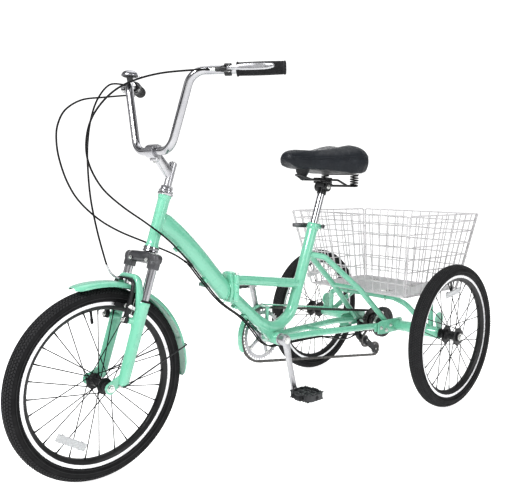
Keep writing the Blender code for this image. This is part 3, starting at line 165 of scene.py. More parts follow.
CAMERA_PLACE = Vector((1.445, -1.402, 0.765))
CAMERA_AZIMUTH, CAMERA_ELEVATION, CAMERA_ROLL = (math.radians(a) for a in (46.472, 5.14, 0.827))
CAMERA_LENS_MM = 43.9
back = Vector((
    math.sin(CAMERA_AZIMUTH) * math.cos(CAMERA_ELEVATION),
    -math.cos(CAMERA_AZIMUTH) * math.cos(CAMERA_ELEVATION),
    math.sin(CAMERA_ELEVATION),
))
level = Z.cross(back).normalized()
turn = Matrix.Rotation(CAMERA_ROLL, 3, back)
lens = bpy.data.cameras.new("camera")
lens.lens = CAMERA_LENS_MM
lens.sensor_width = 36
lens.clip_end = 60
camera = bpy.data.objects.new("camera", lens)
axes = Matrix((turn @ level, turn @ back.cross(level), back)).transposed()
camera.matrix_world = Matrix.Translation(CAMERA_PLACE) @ axes.to_4x4()
scene.collection.objects.link(camera)
scene.camera = camera
scene.view_settings.view_transform = "Standard"
scene.view_settings.look = "Medium High Contrast"


def softbox(name, place, aim, size, power):
    """A large soft lamp that looks at a point."""
    lamp = bpy.data.lights.new(name, "AREA")
    lamp.shape = "RECTANGLE"
    lamp.size, lamp.size_y = size
    lamp.energy = power
    holder = bpy.data.objects.new(name, lamp)
    facing = (Vector(place) - Vector(aim)).to_track_quat("Z", "Y").to_matrix().to_4x4()
    holder.matrix_world = Matrix.Translation(place) @ facing
    scene.collection.objects.link(holder)


softbox("key", (0.6, -3.4, 3.2), (0, 0, 0.5), (1.9, 1.3), 150)
softbox("side", (3.6, 0.6, 2.0), (0, 0.1, 0.4), (1.6, 2.4), 36)
softbox("top", (-0.8, 0.6, 3.8), (0, 0, 0.3), (3.0, 3.0), 42)
softbox("rear", (-2.6, 2.8, 1.8), (0, 0, 0.5), (1.6, 1.6), 14)

WHITE = (1, 1, 1, 1)
AMBIENT = 0.40
world = bpy.data.worlds.new("studio")
scene.world = world
world.use_nodes = True
tree = world.node_tree
tree.nodes.clear()


def world_node(kind, *values):
    """A node of the world, with (socket, value) pairs set on it."""
    made = tree.nodes.new("ShaderNode" + kind)
    for socket, value in values:
        made.inputs[socket].default_value = value
    return made


# the camera sees plain white, the surfaces are lit evenly, and the shiny ones mirror light and dark patches
seen = world_node("Background", ("Color", WHITE), ("Strength", 1.0))
lit = world_node("Background", ("Color", WHITE), ("Strength", AMBIENT))
mirrored = world_node("Background", ("Strength", 1.0))
around = world_node("TexCoord")
stretched = world_node("Mapping", ("Scale", (1.0, 1.0, 1.6)))
patches = world_node("TexNoise", ("Scale", 1.9), ("Detail", 1.5))
ramp = world_node("ValToRGB")
ramp.color_ramp.elements[0].position, ramp.color_ramp.elements[1].position = 0.40, 0.66
for place, value in ((0, 0.02), (1, 0.95)):
    ramp.color_ramp.elements[place].color = (value, value, value, 1)
ramp.color_ramp.elements.new(0.52).color = (0.30, 0.30, 0.31, 1)
which = world_node("LightPath")
glossy_mix, camera_mix = world_node("MixShader"), world_node("MixShader")
for source, target in (
    (around.outputs["Generated"], stretched.inputs[0]),
    (stretched.outputs[0], patches.inputs["Vector"]),
    (patches.outputs["Fac"], ramp.inputs[0]),
    (ramp.outputs[0], mirrored.inputs["Color"]),
    (which.outputs["Is Glossy Ray"], glossy_mix.inputs[0]),
    (lit.outputs[0], glossy_mix.inputs[1]),
    (mirrored.outputs[0], glossy_mix.inputs[2]),
    (which.outputs["Is Camera Ray"], camera_mix.inputs[0]),
    (glossy_mix.outputs[0], camera_mix.inputs[1]),
    (seen.outputs[0], camera_mix.inputs[2]),
    (camera_mix.outputs[0], world_node("OutputWorld").inputs[0]),
):
    tree.links.new(source, target)

# ---------------------------------------------------------------- materials


def finish_of(name, slot, colour, roughness, metallic=0.0, tint=None, tint_scale=30.0, spread=0.08, spread_scale=45.0,
              bump=0.0, bump_scale=600.0, grain="noise", stretch=(1, 1, 1), edge=None, coat=0.0, coat_roughness=0.05,
              specular=0.5, sheen=0.0, deep=0.0002):
    """A procedural material: mottled colour and roughness, a fine bump and, with edge, lighter worn edges."""
    made = bpy.data.materials.new(name)
    made.use_nodes = True
    nodes, links = made.node_tree.nodes, made.node_tree.links
    shader = nodes["Principled BSDF"]
    for socket, value in (("Metallic", metallic), ("Specular IOR Level", specular), ("Coat Weight", coat),
                          ("Coat Roughness", coat_roughness), ("Sheen Weight", sheen)):
        shader.inputs[socket].default_value = value
    place = nodes.new("ShaderNodeTexCoord")
    mapping = nodes.new("ShaderNodeMapping")
    mapping.inputs["Scale"].default_value = stretch
    links.new(place.outputs["Object"], mapping.inputs["Vector"])

    def noise(scale, detail=4.0):
        """Noise of a scale, per metre, from 0 to 1."""
        node = nodes.new("ShaderNodeTexNoise")
        node.inputs["Scale"].default_value = scale
        node.inputs["Detail"].default_value = detail
        links.new(mapping.outputs[0], node.inputs["Vector"])
        return node.outputs["Fac"]

    def ranged(value, low, high, to_low, to_high):
        """A value mapped from one range to another."""
        node = nodes.new("ShaderNodeMapRange")
        for socket, number in zip(("From Min", "From Max", "To Min", "To Max"), (low, high, to_low, to_high)):
            node.inputs[socket].default_value = number
        links.new(value, node.inputs["Value"])
        return node.outputs[0]

    def mixed(factor, first, second):
        """A mix of two colours, each one a tuple or a socket."""
        node = nodes.new("ShaderNodeMix")
        node.data_type = "RGBA"
        links.new(factor, node.inputs["Factor"])
        for socket, source in ((6, first), (7, second)):
            if isinstance(source, tuple):
                node.inputs[socket].default_value = (*source, 1)
            else:
                links.new(source, node.inputs[socket])
        return node.outputs[2]

    tint = tint or tuple(channel * 0.86 for channel in colour)
    shade = mixed(ranged(noise(tint_scale), 0.32, 0.68, 0, 1), colour, tint)
    if edge:
        geometry = nodes.new("ShaderNodeNewGeometry")
        shade = mixed(ranged(geometry.outputs["Pointiness"], 0.53, 0.62, 0, 0.8), shade, edge)
    links.new(shade, shader.inputs["Base Color"])
    low, high = max(roughness - spread, 0.02), min(roughness + spread, 1)
    links.new(ranged(noise(spread_scale, 6), 0.3, 0.7, low, high), shader.inputs["Roughness"])
    if bump:
        bumped = nodes.new("ShaderNodeBump")
        bumped.inputs["Strength"].default_value = bump
        bumped.inputs["Distance"].default_value = deep
        if grain == "noise":
            links.new(noise(bump_scale, 3), bumped.inputs["Height"])
        else:
            cells = nodes.new("ShaderNodeTexVoronoi")
            cells.feature = "SMOOTH_F1" if grain == "pebble" else "DISTANCE_TO_EDGE"
            cells.inputs["Scale"].default_value = bump_scale
            links.new(mapping.outputs[0], cells.inputs["Vector"])
            height = ranged(cells.outputs["Distance"], 0.0, 0.12 if grain == "leather" else 0.8, 0, 1)
            links.new(height, bumped.inputs["Height"])
        links.new(bumped.outputs[0], shader.inputs["Normal"])
    return made, slot


MINT = finish_of("mint_gloss_paint", "mint_paint", (0.178, 0.500, 0.352), 0.29, tint=(0.160, 0.468, 0.326),
                 tint_scale=14, spread=0.05, bump=0.06, bump_scale=420, coat=1.0, coat_roughness=0.09)
CHROME = finish_of("polished_chrome", "chrome_plate", (0.46, 0.46, 0.47), 0.17, 1.0, tint=(0.38, 0.38, 0.40),
                   tint_scale=22, spread=0.05, bump=0.03, bump_scale=300)
SATIN = finish_of("satin_alloy", "satin_metal", (0.50, 0.50, 0.51), 0.30, 1.0, tint=(0.42, 0.42, 0.44), tint_scale=30,
                  bump=0.12, bump_scale=900, stretch=(0.25, 1, 1), edge=(0.80, 0.80, 0.81))
BRIGHT_BOLT = finish_of("zinc_bolt", "satin_metal", (0.66, 0.66, 0.64), 0.27, 1.0, tint=(0.50, 0.51, 0.49),
                        tint_scale=120, bump=0.10, bump_scale=1200, edge=(0.85, 0.85, 0.84))
BLACK_METAL = finish_of("black_coated_metal", "black_metal", (0.010, 0.010, 0.011), 0.40, 0.0,
                        tint=(0.017, 0.017, 0.018), bump=0.25, bump_scale=1100, coat=0.1, coat_roughness=0.2,
                        specular=0.35, edge=(0.06, 0.06, 0.063))
PLASTIC = finish_of("black_moulded_plastic", "black_plastic", (0.013, 0.013, 0.015), 0.46, tint=(0.020, 0.021, 0.023),
                    bump=0.35, bump_scale=1500, grain="pebble", edge=(0.06, 0.062, 0.066))
GRIP = finish_of("grip_rubber", "grip_rubber", (0.010, 0.010, 0.011), 0.68, tint=(0.018, 0.018, 0.020), bump=0.5,
                 bump_scale=1300, grain="pebble", specular=0.3)
RUBBER = finish_of("tyre_rubber", "tyre_rubber", (0.008, 0.008, 0.0087), 0.66, tint=(0.015, 0.015, 0.016),
                   tint_scale=28, spread=0.12, bump=0.45, bump_scale=900, specular=0.22, edge=(0.040, 0.040, 0.042))
CAST = finish_of("dark_cast_metal", "dark_casting", (0.070, 0.070, 0.075), 0.36, 0.6, tint=(0.115, 0.115, 0.12),
                 tint_scale=40, bump=0.3, bump_scale=700, edge=(0.26, 0.26, 0.27))
WIRE = finish_of("basket_coated_wire", "basket_wire", (0.56, 0.55, 0.56), 0.38, 0.15, tint=(0.47, 0.46, 0.47),
                 tint_scale=60, bump=0.15, bump_scale=900)
STEEL = finish_of("oiled_chain_steel", "chain_steel", (0.030, 0.029, 0.028), 0.38, 0.85, tint=(0.055, 0.053, 0.050),
                  tint_scale=150, bump=0.2, bump_scale=1000, edge=(0.20, 0.195, 0.19))
TRACK_METAL = finish_of("machined_rim_track", "satin_metal", (0.86, 0.86, 0.87), 0.30, 0.55, tint=(0.76, 0.76, 0.78),
                        tint_scale=45, bump=0.2, bump_scale=1400)
VINYL = finish_of("saddle_vinyl", "saddle_cover", (0.007, 0.009, 0.013), 0.44, tint=(0.011, 0.014, 0.019),
                  tint_scale=20, spread=0.07, bump=0.5, bump_scale=520, grain="leather", specular=0.32, sheen=0.02)
THREAD = finish_of("saddle_thread", "saddle_cover", (0.055, 0.060, 0.068), 0.7, bump=0.5, bump_scale=2500)
LENS = finish_of("clear_reflector", "black_plastic", (0.62, 0.63, 0.64), 0.16, tint=(0.42, 0.43, 0.44), tint_scale=260,
                 bump=0.9, bump_scale=420, grain="pebble", coat=0.8, deep=0.0006)
SPOKE_BLACK = finish_of("black_spoke", "black_metal", (0.006, 0.006, 0.0065), 0.50, tint=(0.010, 0.010, 0.011),
                        tint_scale=80, bump=0.1, bump_scale=1200, specular=0.2)
SLEEVE = finish_of("cable_sleeve", "black_plastic", (0.004, 0.004, 0.0045), 0.45, tint=(0.007, 0.007, 0.0075),
                      bump=0.1, bump_scale=1500, specular=0.2)
FLOOR = finish_of("studio_floor", "", (0.62, 0.62, 0.62), 0.80, tint=(0.60, 0.60, 0.60), tint_scale=1.5,
                  specular=0.0)[0]
floor_shader = FLOOR.node_tree.nodes["Principled BSDF"]
floor_shader.inputs["Emission Color"].default_value = WHITE
floor_shader.inputs["Emission Strength"].default_value = 0.76

# ---------------------------------------------------------------- shapes


def turn_to(direction):
    """The rotation that takes +Z to a direction."""
    return Vector(direction).to_track_quat("Z", "Y").to_matrix().to_4x4()


def oval(centre, across, along, half_across, half_along, count=24, power=2.0):
    """A ring of points on an oval. A power over 2 makes it squarer."""
    ring = []
    for angle in round_turn(count):
        c, s = math.cos(angle), math.sin(angle)
        u = math.copysign(abs(c) ** (2 / power), c) * half_across
        v = math.copysign(abs(s) ** (2 / power), s) * half_along
        ring.append(Vector(centre) + Vector(across) * u + Vector(along) * v)
    return ring


def flat_ring(radius, count, middle=(0, 0)):
    """A circle as (u, v) points."""
    return [(middle[0] + radius * math.cos(a), middle[1] + radius * math.sin(a)) for a in round_turn(count)]


def rounded(points, radius, steps=8):
    """The points of a path whose inner corners are rounded off by arcs of one radius."""
    points = [Vector(point) for point in points]
    path = [points[0]]
    for before, corner, after in zip(points, points[1:], points[2:]):
        backward, ahead = (before - corner).normalized(), (after - corner).normalized()
        half = backward.angle(ahead) / 2
        reach = min(radius / math.tan(half), 0.49 * (before - corner).length, 0.49 * (after - corner).length)
        bend = reach * math.tan(half)
        centre = corner + (backward + ahead).normalized() * bend / math.sin(half)
        first, last = corner + backward * reach - centre, corner + ahead * reach - centre
        for step in range(steps + 1):
            path.append(centre + first.slerp(last, step / steps) * bend)
    path.append(points[-1])
    return path


def smooth_path(points, count):
    """Points read from one smooth curve through the given ones (Catmull-Rom)."""
    points = [Vector(point) for point in points]
    padded = [2 * points[0] - points[1]] + points + [2 * points[-1] - points[-2]]
    spans = len(points) - 1
    path = []
    for index in range(count):
        where = index * spans / (count - 1)
        span = min(int(where), spans - 1)
        t = where - span
        a, b, c, d = padded[span : span + 4]
        path.append(
            0.5 * (2 * b + (c - a) * t + (2 * a - 5 * b + 4 * c - d) * t**2 + (3 * b - a - 3 * c + d) * t**3)
        )
    return path


def cross_frames(path, closed=False):
    """For each point of a path, two directions across it that turn as little as they can."""
    count = len(path)
    tangents = []
    for index in range(count):
        after = path[(index + 1) % count] if closed or index + 1 < count else path[index]
        before = path[index - 1] if closed or index else path[index]
        tangents.append((after - before).normalized())
    across = tangents[0].orthogonal().normalized()
    frames = []
    previous = tangents[0]
    for tangent in tangents:
        across = previous.rotation_difference(tangent) @ across
        across = (across - tangent * across.dot(tangent)).normalized()
        frames.append((across, tangent.cross(across)))
        previous = tangent
    return frames


class Shape:
    """A mesh that is put together from closed bodies."""

    def __init__(self):
        self.work = bmesh.new()

    def skin(self, rings, closed=False):
        """A skin over rings of points, capped at both ends, or joined from the last to the first."""
        rows = [[self.work.verts.new(point) for point in ring] for ring in rings]
        count = len(rings[0])
        pairs = list(zip(rows, rows[1:])) + ([(rows[-1], rows[0])] if closed else [])
        for first, second in pairs:
            for index in range(count):
                beside = (index + 1) % count
                self.work.faces.new((first[index], first[beside], second[beside], second[index]))
        if not closed:
            self.work.faces.new(rows[0])
            self.work.faces.new(rows[-1])
        return self

    def tube(self, path, radius, sides=14, closed=False, radii=None):
        """A round tube along a path, of one radius or of one for each point."""
        path = [Vector(point) for point in path]
        frames = cross_frames(path, closed)
        rings = []
        for index, (point, (u, v)) in enumerate(zip(path, frames)):
            rings.append(oval(point, u, v, *(2 * [radii[index] if radii else radius]), sides))
        return self.skin(rings, closed)

    def rod(self, start, end, radius, end_radius=None, sides=24, chamfer=0.0):
        """A straight rod or cone between two points."""
        start, end = Vector(start), Vector(end)
        end_radius = radius if end_radius is None else end_radius
        along = (end - start).normalized()
        u = along.orthogonal().normalized()
        v = along.cross(u)
        stops = [(start, radius), (end, end_radius)]
        if chamfer:
            stops = [(start, radius - chamfer), (start + along * chamfer, radius), (end - along * chamfer, end_radius),
                     (end, end_radius - chamfer)]
        return self.skin([oval(point, u, v, r, r, sides) for point, r in stops])

    def axle(self, middle, first, last, radius, end_radius=None, sides=24, chamfer=0.0):
        """A rod along X, between two distances from its middle."""
        return self.rod(middle + X * first, middle + X * last, radius, end_radius, sides, chamfer)

    def sweep(self, path, guide, sizes, count=20, power=2.8):
        """Ovals along a path. From its share of the path, sizes gives each one's half size towards the guide
        and across it."""
        rings = []
        for index, (point, (u, v)) in enumerate(zip(path, cross_frames(path))):
            tangent = u.cross(v)
            high = (guide - tangent * guide.dot(tangent)).normalized()
            rings.append(oval(point, high, tangent.cross(high), *sizes(index / (len(path) - 1)), count, power))
        return self.skin(rings)

    def lathe(self, profile, place, axis=(0, 0, 1), steps=48, closed=False):
        """(radius, height) points turned about an axis. A closed profile leaves a hole through the middle."""
        turn = Matrix.Translation(place) @ turn_to(axis)
        rings = [oval(turn @ Vector((0, 0, height)), turn.to_3x3() @ X, turn.to_3x3() @ Y, radius, radius, steps)
                 for radius, height in profile]
        return self.skin(rings, closed)

    def box(self, centre, size, turn=Matrix.Identity(4), bevel=0.0, segments=2):
        """A box with rounded edges."""
        placed = Matrix.Translation(centre) @ turn.to_4x4() @ Matrix.Diagonal((*size, 1))
        made = bmesh.ops.create_cube(self.work, size=1, matrix=placed)
        if bevel:
            edges = {edge for vert in made["verts"] for edge in vert.link_edges}
            bmesh.ops.bevel(self.work, geom=list(edges), offset=bevel, segments=segments, affect="EDGES", profile=0.5)
        return self

    def ball(self, centre, radius, squash=(1, 1, 1), turn=Matrix.Identity(4), sides=20, rings=12):
        """A ball, or an egg where it is squashed."""
        placed = Matrix.Translation(centre) @ turn.to_4x4() @ Matrix.Diagonal((*squash, 1))
        bmesh.ops.create_uvsphere(self.work, u_segments=sides, v_segments=rings, radius=radius, matrix=placed)
        return self

    def plate(self, outline, thickness, place=Matrix.Identity(4), bevel=0.0):
        """A flat outline of (u, v) points given thickness about its own plane, which the place's X and Y span."""
        half = thickness / 2
        rings = [[place @ Vector((u, v, -half)) for u, v in outline],
                 [place @ Vector((u, v, half)) for u, v in outline]]
        if bevel:
            middle_u = sum(u for u, _ in outline) / len(outline)
            middle_v = sum(v for _, v in outline) / len(outline)
            inset = []
            for u, v in outline:
                away = Vector((u - middle_u, v - middle_v))
                away -= away.normalized() * bevel
                inset.append((middle_u + away.x, middle_v + away.y))
            rings = [
                [place @ Vector((u, v, -half)) for u, v in inset],
                [place @ Vector((u, v, -half + bevel)) for u, v in outline],
                [place @ Vector((u, v, half - bevel)) for u, v in outline],
                [place @ Vector((u, v, half)) for u, v in inset],
            ]
        return self.skin(rings)

    def ring_plate(self, outer, inner, thickness, place=Matrix.Identity(4)):
        """A flat plate with one hole. Both outlines have as many points."""
        half = thickness / 2
        return self.skin(
            [[place @ Vector((u, v, h)) for u, v in line]
             for line, h in ((outer, half), (outer, -half), (inner, -half), (inner, half))],
            closed=True,
        )

    def bolt(self, place, axis, radius=0.0055, height=0.004, sides=6, washer=True):
        """A hexagon head on a washer, with the bolt's rounded end standing out of it."""
        axis = Vector(axis).normalized()
        place = Vector(place)
        if washer:
            self.rod(place, place + axis * 0.0012, radius * 1.35, sides=24, chamfer=0.0003)
        foot = place + axis * 0.0010
        self.rod(foot, foot + axis * height, radius, sides=sides, chamfer=radius * 0.09)
        return self.rod(foot, foot + axis * (height + 0.0016), radius * 0.52, sides=16, chamfer=0.0006)

    def bead(self, points, radius=0.0016, ripples=3):
        """A weld bead along a closed line: a thin rope with small even swells."""
        radii = [radius * (1 + 0.16 * math.sin(TAU * ripples * index / 8)) for index in range(len(points))]
        return self.tube(points, radius, 8, True, radii)

    def mesh(self, name):
        """The finished mesh, with its faces turned outwards."""
        bmesh.ops.recalc_face_normals(self.work, faces=self.work.faces)
        mesh = bpy.data.meshes.new(name)
        self.work.to_mesh(mesh)
        self.work.free()
        return mesh


def joint_line(foot, along, radius, other_foot, other_along, other_radius, count=56):
    """Where a tube meets another: for each line along the first one's wall, its first point on the second."""
    foot, other_foot = Vector(foot), Vector(other_foot)
    along, other_along = Vector(along).normalized(), Vector(other_along).normalized()
    u = along.orthogonal().normalized()
    v = along.cross(u)
    points = []
    for point in oval(foot, u, v, radius, radius, count):
        gap = point - other_foot
        p = gap - other_along * gap.dot(other_along)
        d = along - other_along * along.dot(other_along)
        a, b, c = d.dot(d), p.dot(d), p.dot(p) - other_radius**2
        under = b * b - a * c
        points.append(point + along * ((-b - math.sqrt(max(under, 0))) / a))
    return points


def stadium(first, r1, second, r2, count=12):
    """The outline round two circles in a plane, as (u, v) points."""
    (u1, v1), (u2, v2) = first, second
    gap, bearing = math.hypot(u2 - u1, v2 - v1), math.atan2(v2 - v1, u2 - u1)
    lean = math.acos((r1 - r2) / gap)
    points = []
    for step in range(count + 1):
        angle = bearing + lean + (2 * math.pi - 2 * lean) * step / count
        points.append((u1 + r1 * math.cos(angle), v1 + r1 * math.sin(angle)))
    for step in range(count + 1):
        angle = bearing - lean + 2 * lean * step / count
        points.append((u2 + r2 * math.cos(angle), v2 + r2 * math.sin(angle)))
    return points


SIDE_PLANE = Matrix(((0, 0, 1, 0), (1, 0, 0, 0), (0, 1, 0, 0), (0, 0, 0, 1)))


def in_side_plane(x):
    """The placing that lays an outline's (u, v) on (y, z), at one x."""
    return Matrix.Translation((x, 0, 0)) @ SIDE_PLANE


def dressed(mesh, look, smooth):
    """A mesh with its material, smooth but for the edges sharper than an angle."""
    mesh.materials.append(look[0])
    mesh.shade_smooth()
    mesh.set_sharp_from_angle(angle=math.radians(smooth))
    return mesh


def piece(name, shape, look, body=None, replaces=(), smooth=38, bevel=0.0, blend=None, place=None):
    """A finished piece: its mesh, material and the body that it rides."""
    mesh = dressed(shape.mesh(name), look, smooth) if isinstance(shape, Shape) else shape
    made = bpy.data.objects.new(name, mesh)
    scene.collection.objects.link(made)
    if place is not None:
        made.location = place
    if bevel:
        soft = made.modifiers.new("edges", "BEVEL")
        soft.width = bevel
        soft.segments = 2
        soft.limit_method = "ANGLE"
        soft.angle_limit = math.radians(35)
    if blend:
        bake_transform(made)
    else:
        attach(made, body)
    if replaces:
        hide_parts(*replaces)
    return made


# ---------------------------------------------------------------- wheels

KNOBS = 176
KNOB_ROWS = (-61, -44, -27, -9.5, 9.5, 27, 44, 61)
SECTION_MIDDLE = 0.2300


def on_section(angle, lift=0.0):
    """(radius, x) of a point on the tyre's round section. The angle is in degrees from its crown."""
    a = math.radians(angle)
    return SECTION_MIDDLE + (0.0182 + lift) * math.cos(a), (0.0222 + lift) * math.sin(a)


def tyre_mesh():
    """A casing with a bead ridge on each side, and rows of small knobs over its crown, about X at the origin."""
    shape = Shape()
    beads = [(0.2140, 0.0138), (0.2120, 0.0112), (0.2120, -0.0112), (0.2140, -0.0138)]
    shape.lathe([on_section(degrees) for degrees in range(-132, 133, 12)] + beads, (0, 0, 0), X, 120, closed=True)
    ridge = ((0.2262, 0.0221), (0.2262, 0.0232), (0.2248, 0.0232), (0.2244, 0.0219))
    lip = ((0.2188, 0.0176), (0.2180, 0.0190), (0.2164, 0.0184), (0.2166, 0.0168))
    for side in (1, -1):
        for ring in (ridge, lip):
            shape.lathe([(radius, x * side) for radius, x in ring], (0, 0, 0), X, 120, closed=True)
    for row, middle in enumerate(KNOB_ROWS):
        half_across = 6.6 if abs(middle) < 50 else 7.6
        slant = math.copysign(0.28, middle) * (1 if row % 2 else -1)
        for index in range(KNOBS):
            turn_at = TAU * (index + 0.5 * (row % 2)) / KNOBS
            rings = []
            for lift, share in ((-0.0008, 1.0), (0.0016, 0.94), (0.0018, 0.80)):
                ring = []
                for u, v in ((-1, -1), (1, -1), (1, 1), (-1, 1)):
                    r, x = on_section(middle + u * half_across * share, lift)
                    swing = turn_at + (v * 0.36 * share + u * slant * 0.5) * TAU / KNOBS
                    ring.append((x, -r * math.sin(swing), r * math.cos(swing)))
                rings.append(ring)
            shape.skin(rings)
    return dressed(shape.mesh("tyre"), RUBBER, 32)


TYRE = tyre_mesh()


def rim_pieces(prefix, body, centre):
    """The black rim with its eyelets and valve, and the machined track on each side."""
    half = [(0.2142, 0.0128), (0.2128, 0.0130), (0.2036, 0.0130), (0.2024, 0.0126), (0.1975, 0.0096), (0.1938, 0.0060),
            (0.1925, 0.0028)]
    outline = half + [(r, -x) for r, x in half[::-1]] + [(0.2120, -0.0108), (0.2096, -0.0095), (0.2096, 0.0095),
                                                        (0.2120, 0.0108)]
    rim = Shape().lathe(outline, centre, X, 96, closed=True)
    for angle in round_turn(SPOKES):
        out = out_at(angle)
        rim.rod(centre + out * 0.1912, centre + out * 0.1945, 0.0030, sides=10, chamfer=0.0005)
    piece(prefix + "_rim_shell", rim, BLACK_METAL, body, (prefix + "_rim",))
    track = Shape()
    for side in (1, -1):
        ring = [(0.2150, 0.0131 * side), (0.2148, 0.0136 * side), (0.2052, 0.0136 * side), (0.2048, 0.0131 * side)]
        track.lathe(ring, centre, X, 96, closed=True)
    piece(prefix + "_rim_track", track, TRACK_METAL, body)
    out = out_at(math.pi / 2 + TAU * 0.5 / SPOKES)
    valve = Shape().rod(centre + out * 0.200, centre + out * 0.172, 0.0036, 0.0030, 14, 0.0006)
    valve.rod(centre + out * 0.173, centre + out * 0.160, 0.0042, 0.0038, 8, 0.0008)
    piece(prefix + "_valve", valve, GRIP, body)


def spoke_pieces(prefix, body, centre, half, flange_r, barrel_r, bore_r):
    """Spokes that cross each other on their way from the hub's flanges, with nipples at the rim, and the hub shell."""
    spokes, nipples = Shape(), Shape()
    for index in range(SPOKES):
        side = 1 if index % 2 else -1
        lean = math.radians(58) * (1 if index % 4 < 2 else -1)
        at_rim = math.pi / 2 + TAU * index / SPOKES
        foot = centre + X * side * (half - 0.0015) + out_at(at_rim - lean) * (flange_r - 0.003)
        head = centre + out_at(at_rim) * 0.1918 + X * side * 0.003
        spokes.rod(foot, head, 0.00135, sides=8)
        spokes.ball(foot + X * side * 0.0010, 0.0019, (0.7, 1, 1), sides=8, rings=6)
        tip = head + (foot - head).normalized() * 0.0125
        nipples.rod(tip, head, 0.0017, 0.0021, 8, 0.0004)
    piece(prefix + "_spokes", spokes, SPOKE_BLACK, body, (prefix + "_hub_and_spokes",))
    piece(prefix + "_nipples", nipples, SPOKE_BLACK, body)
    hub = Shape()
    outline = [(barrel_r * 0.92, half + 0.0058), (barrel_r, half + 0.0050), (barrel_r, half + 0.0006),
               (flange_r - 0.0006, half), (flange_r, half - 0.0008), (flange_r, half - 0.0026),
               (flange_r - 0.0008, half - 0.0034), (barrel_r + 0.003, half - 0.0044), (barrel_r, half - 0.0085)]
    waist = [(barrel_r * 0.93, half * 0.35)]
    mirrored = [(r, -h) for r, h in (outline + waist)[::-1]]
    bore = [(bore_r, -half - 0.0058), (bore_r, half + 0.0058)]
    hub.lathe(outline + waist + mirrored + bore, centre, X, 48, closed=True)
    piece(prefix + "_hub_shell", hub, BLACK_METAL, body)


def reflector(prefix, body, centre, angle, radius, x):
    """A clear wheel reflector clipped between the spokes, ribbed across, in a thin frame."""
    out = out_at(math.radians(angle))
    along = out_at(math.radians(angle + 90))
    middle = centre + out * radius + X * x
    turn = Matrix((along, out, X)).transposed().to_4x4()
    plate = Shape().box(middle, (0.092, 0.0200, 0.0050), turn, 0.0022, 3)
    for index in range(22):
        rib = middle + along * (-0.0420 + 0.084 * index / 21) + X * 0.0024
        plate.rod(rib - out * 0.0082, rib + out * 0.0082, 0.0011, sides=6)
    piece(prefix + "_reflector", plate, LENS, body)
    clip = Shape().box(middle - X * 0.0032, (0.074, 0.0120, 0.0022), turn, 0.0006)
    for step in (-0.030, 0.030):
        clip.box(middle + along * step - X * 0.0036, (0.008, 0.0230, 0.0026), turn, 0.0006)
    piece(prefix + "_reflector_clip", clip, LENS, body)


def wheel(prefix, body, centre, hub, reflectors):
    """One whole wheel: tyre, rim, spokes, hub and reflectors."""
    piece(prefix + "_tread", TYRE, RUBBER, body, (prefix + "_tyre",), place=centre)
    rim_pieces(prefix, body, centre)
    spoke_pieces(prefix, body, centre, *hub)
    for index, (angle, x) in enumerate(reflectors):
        reflector(prefix + "_%d" % index, body, centre, angle, 0.156, x)


wheel("front", "front_wheel", FRONT_AXLE, (0.030, 0.021, 0.0125, 0.0055), ((238, 0.009),))
wheel("rear_left", "left_rear_wheel", REAR_AXLE + X * HUB_X, (0.024, 0.0305, 0.0165, AXLE_R), ((98, 0.009),))
wheel("rear_right", "right_rear_wheel", REAR_AXLE - X * HUB_X, (0.024, 0.0305, 0.0165, AXLE_R), ((98, 0.009),))

# axle ends: a washer and a nut on each end of both axles, and spacers inside the rear hubs
axle_nuts = Shape().axle(FRONT_AXLE, -0.0700, 0.0700, 0.0048, sides=20, chamfer=0.0008)
rear_shaft = Shape().axle(REAR_AXLE, -0.357, 0.357, AXLE_R - 0.0004, chamfer=0.001)
caps = Shape()
for _, side in SIDES:
    foot = FRONT_AXLE + X * side * 0.0580
    axle_nuts.axle(foot, 0, side * 0.0016, 0.0105, sides=32, chamfer=0.0003)
    axle_nuts.axle(foot, side * 0.0014, side * 0.0092, 0.0085, sides=6, chamfer=0.0010)
    foot = REAR_AXLE + X * side * (HUB_X + 0.0300)
    rear_shaft.axle(foot, -side * 0.0005, side * 0.0016, 0.0125, sides=32, chamfer=0.0004)
    rear_shaft.axle(foot, side * 0.0014, side * 0.0082, 0.0102, sides=6, chamfer=0.0012)
    caps.axle(REAR_AXLE, side * (HUB_X - 0.0300), side * (HUB_X - 0.0385), 0.0125, 0.0105, 32, 0.0008)
piece("front_axle_nuts", axle_nuts, BRIGHT_BOLT, "fork_lowers", ("front_axle",))
piece("rear_axle_shaft", rear_shaft, BRIGHT_BOLT, "right_rear_wheel", ("rear_axle",))
piece("rear_axle_spacers", caps, BLACK_METAL, "rear_frame")

# ---------------------------------------------------------------- fork

BRAKE_FORWARD = 0.0545
BOSS_UP = -0.198


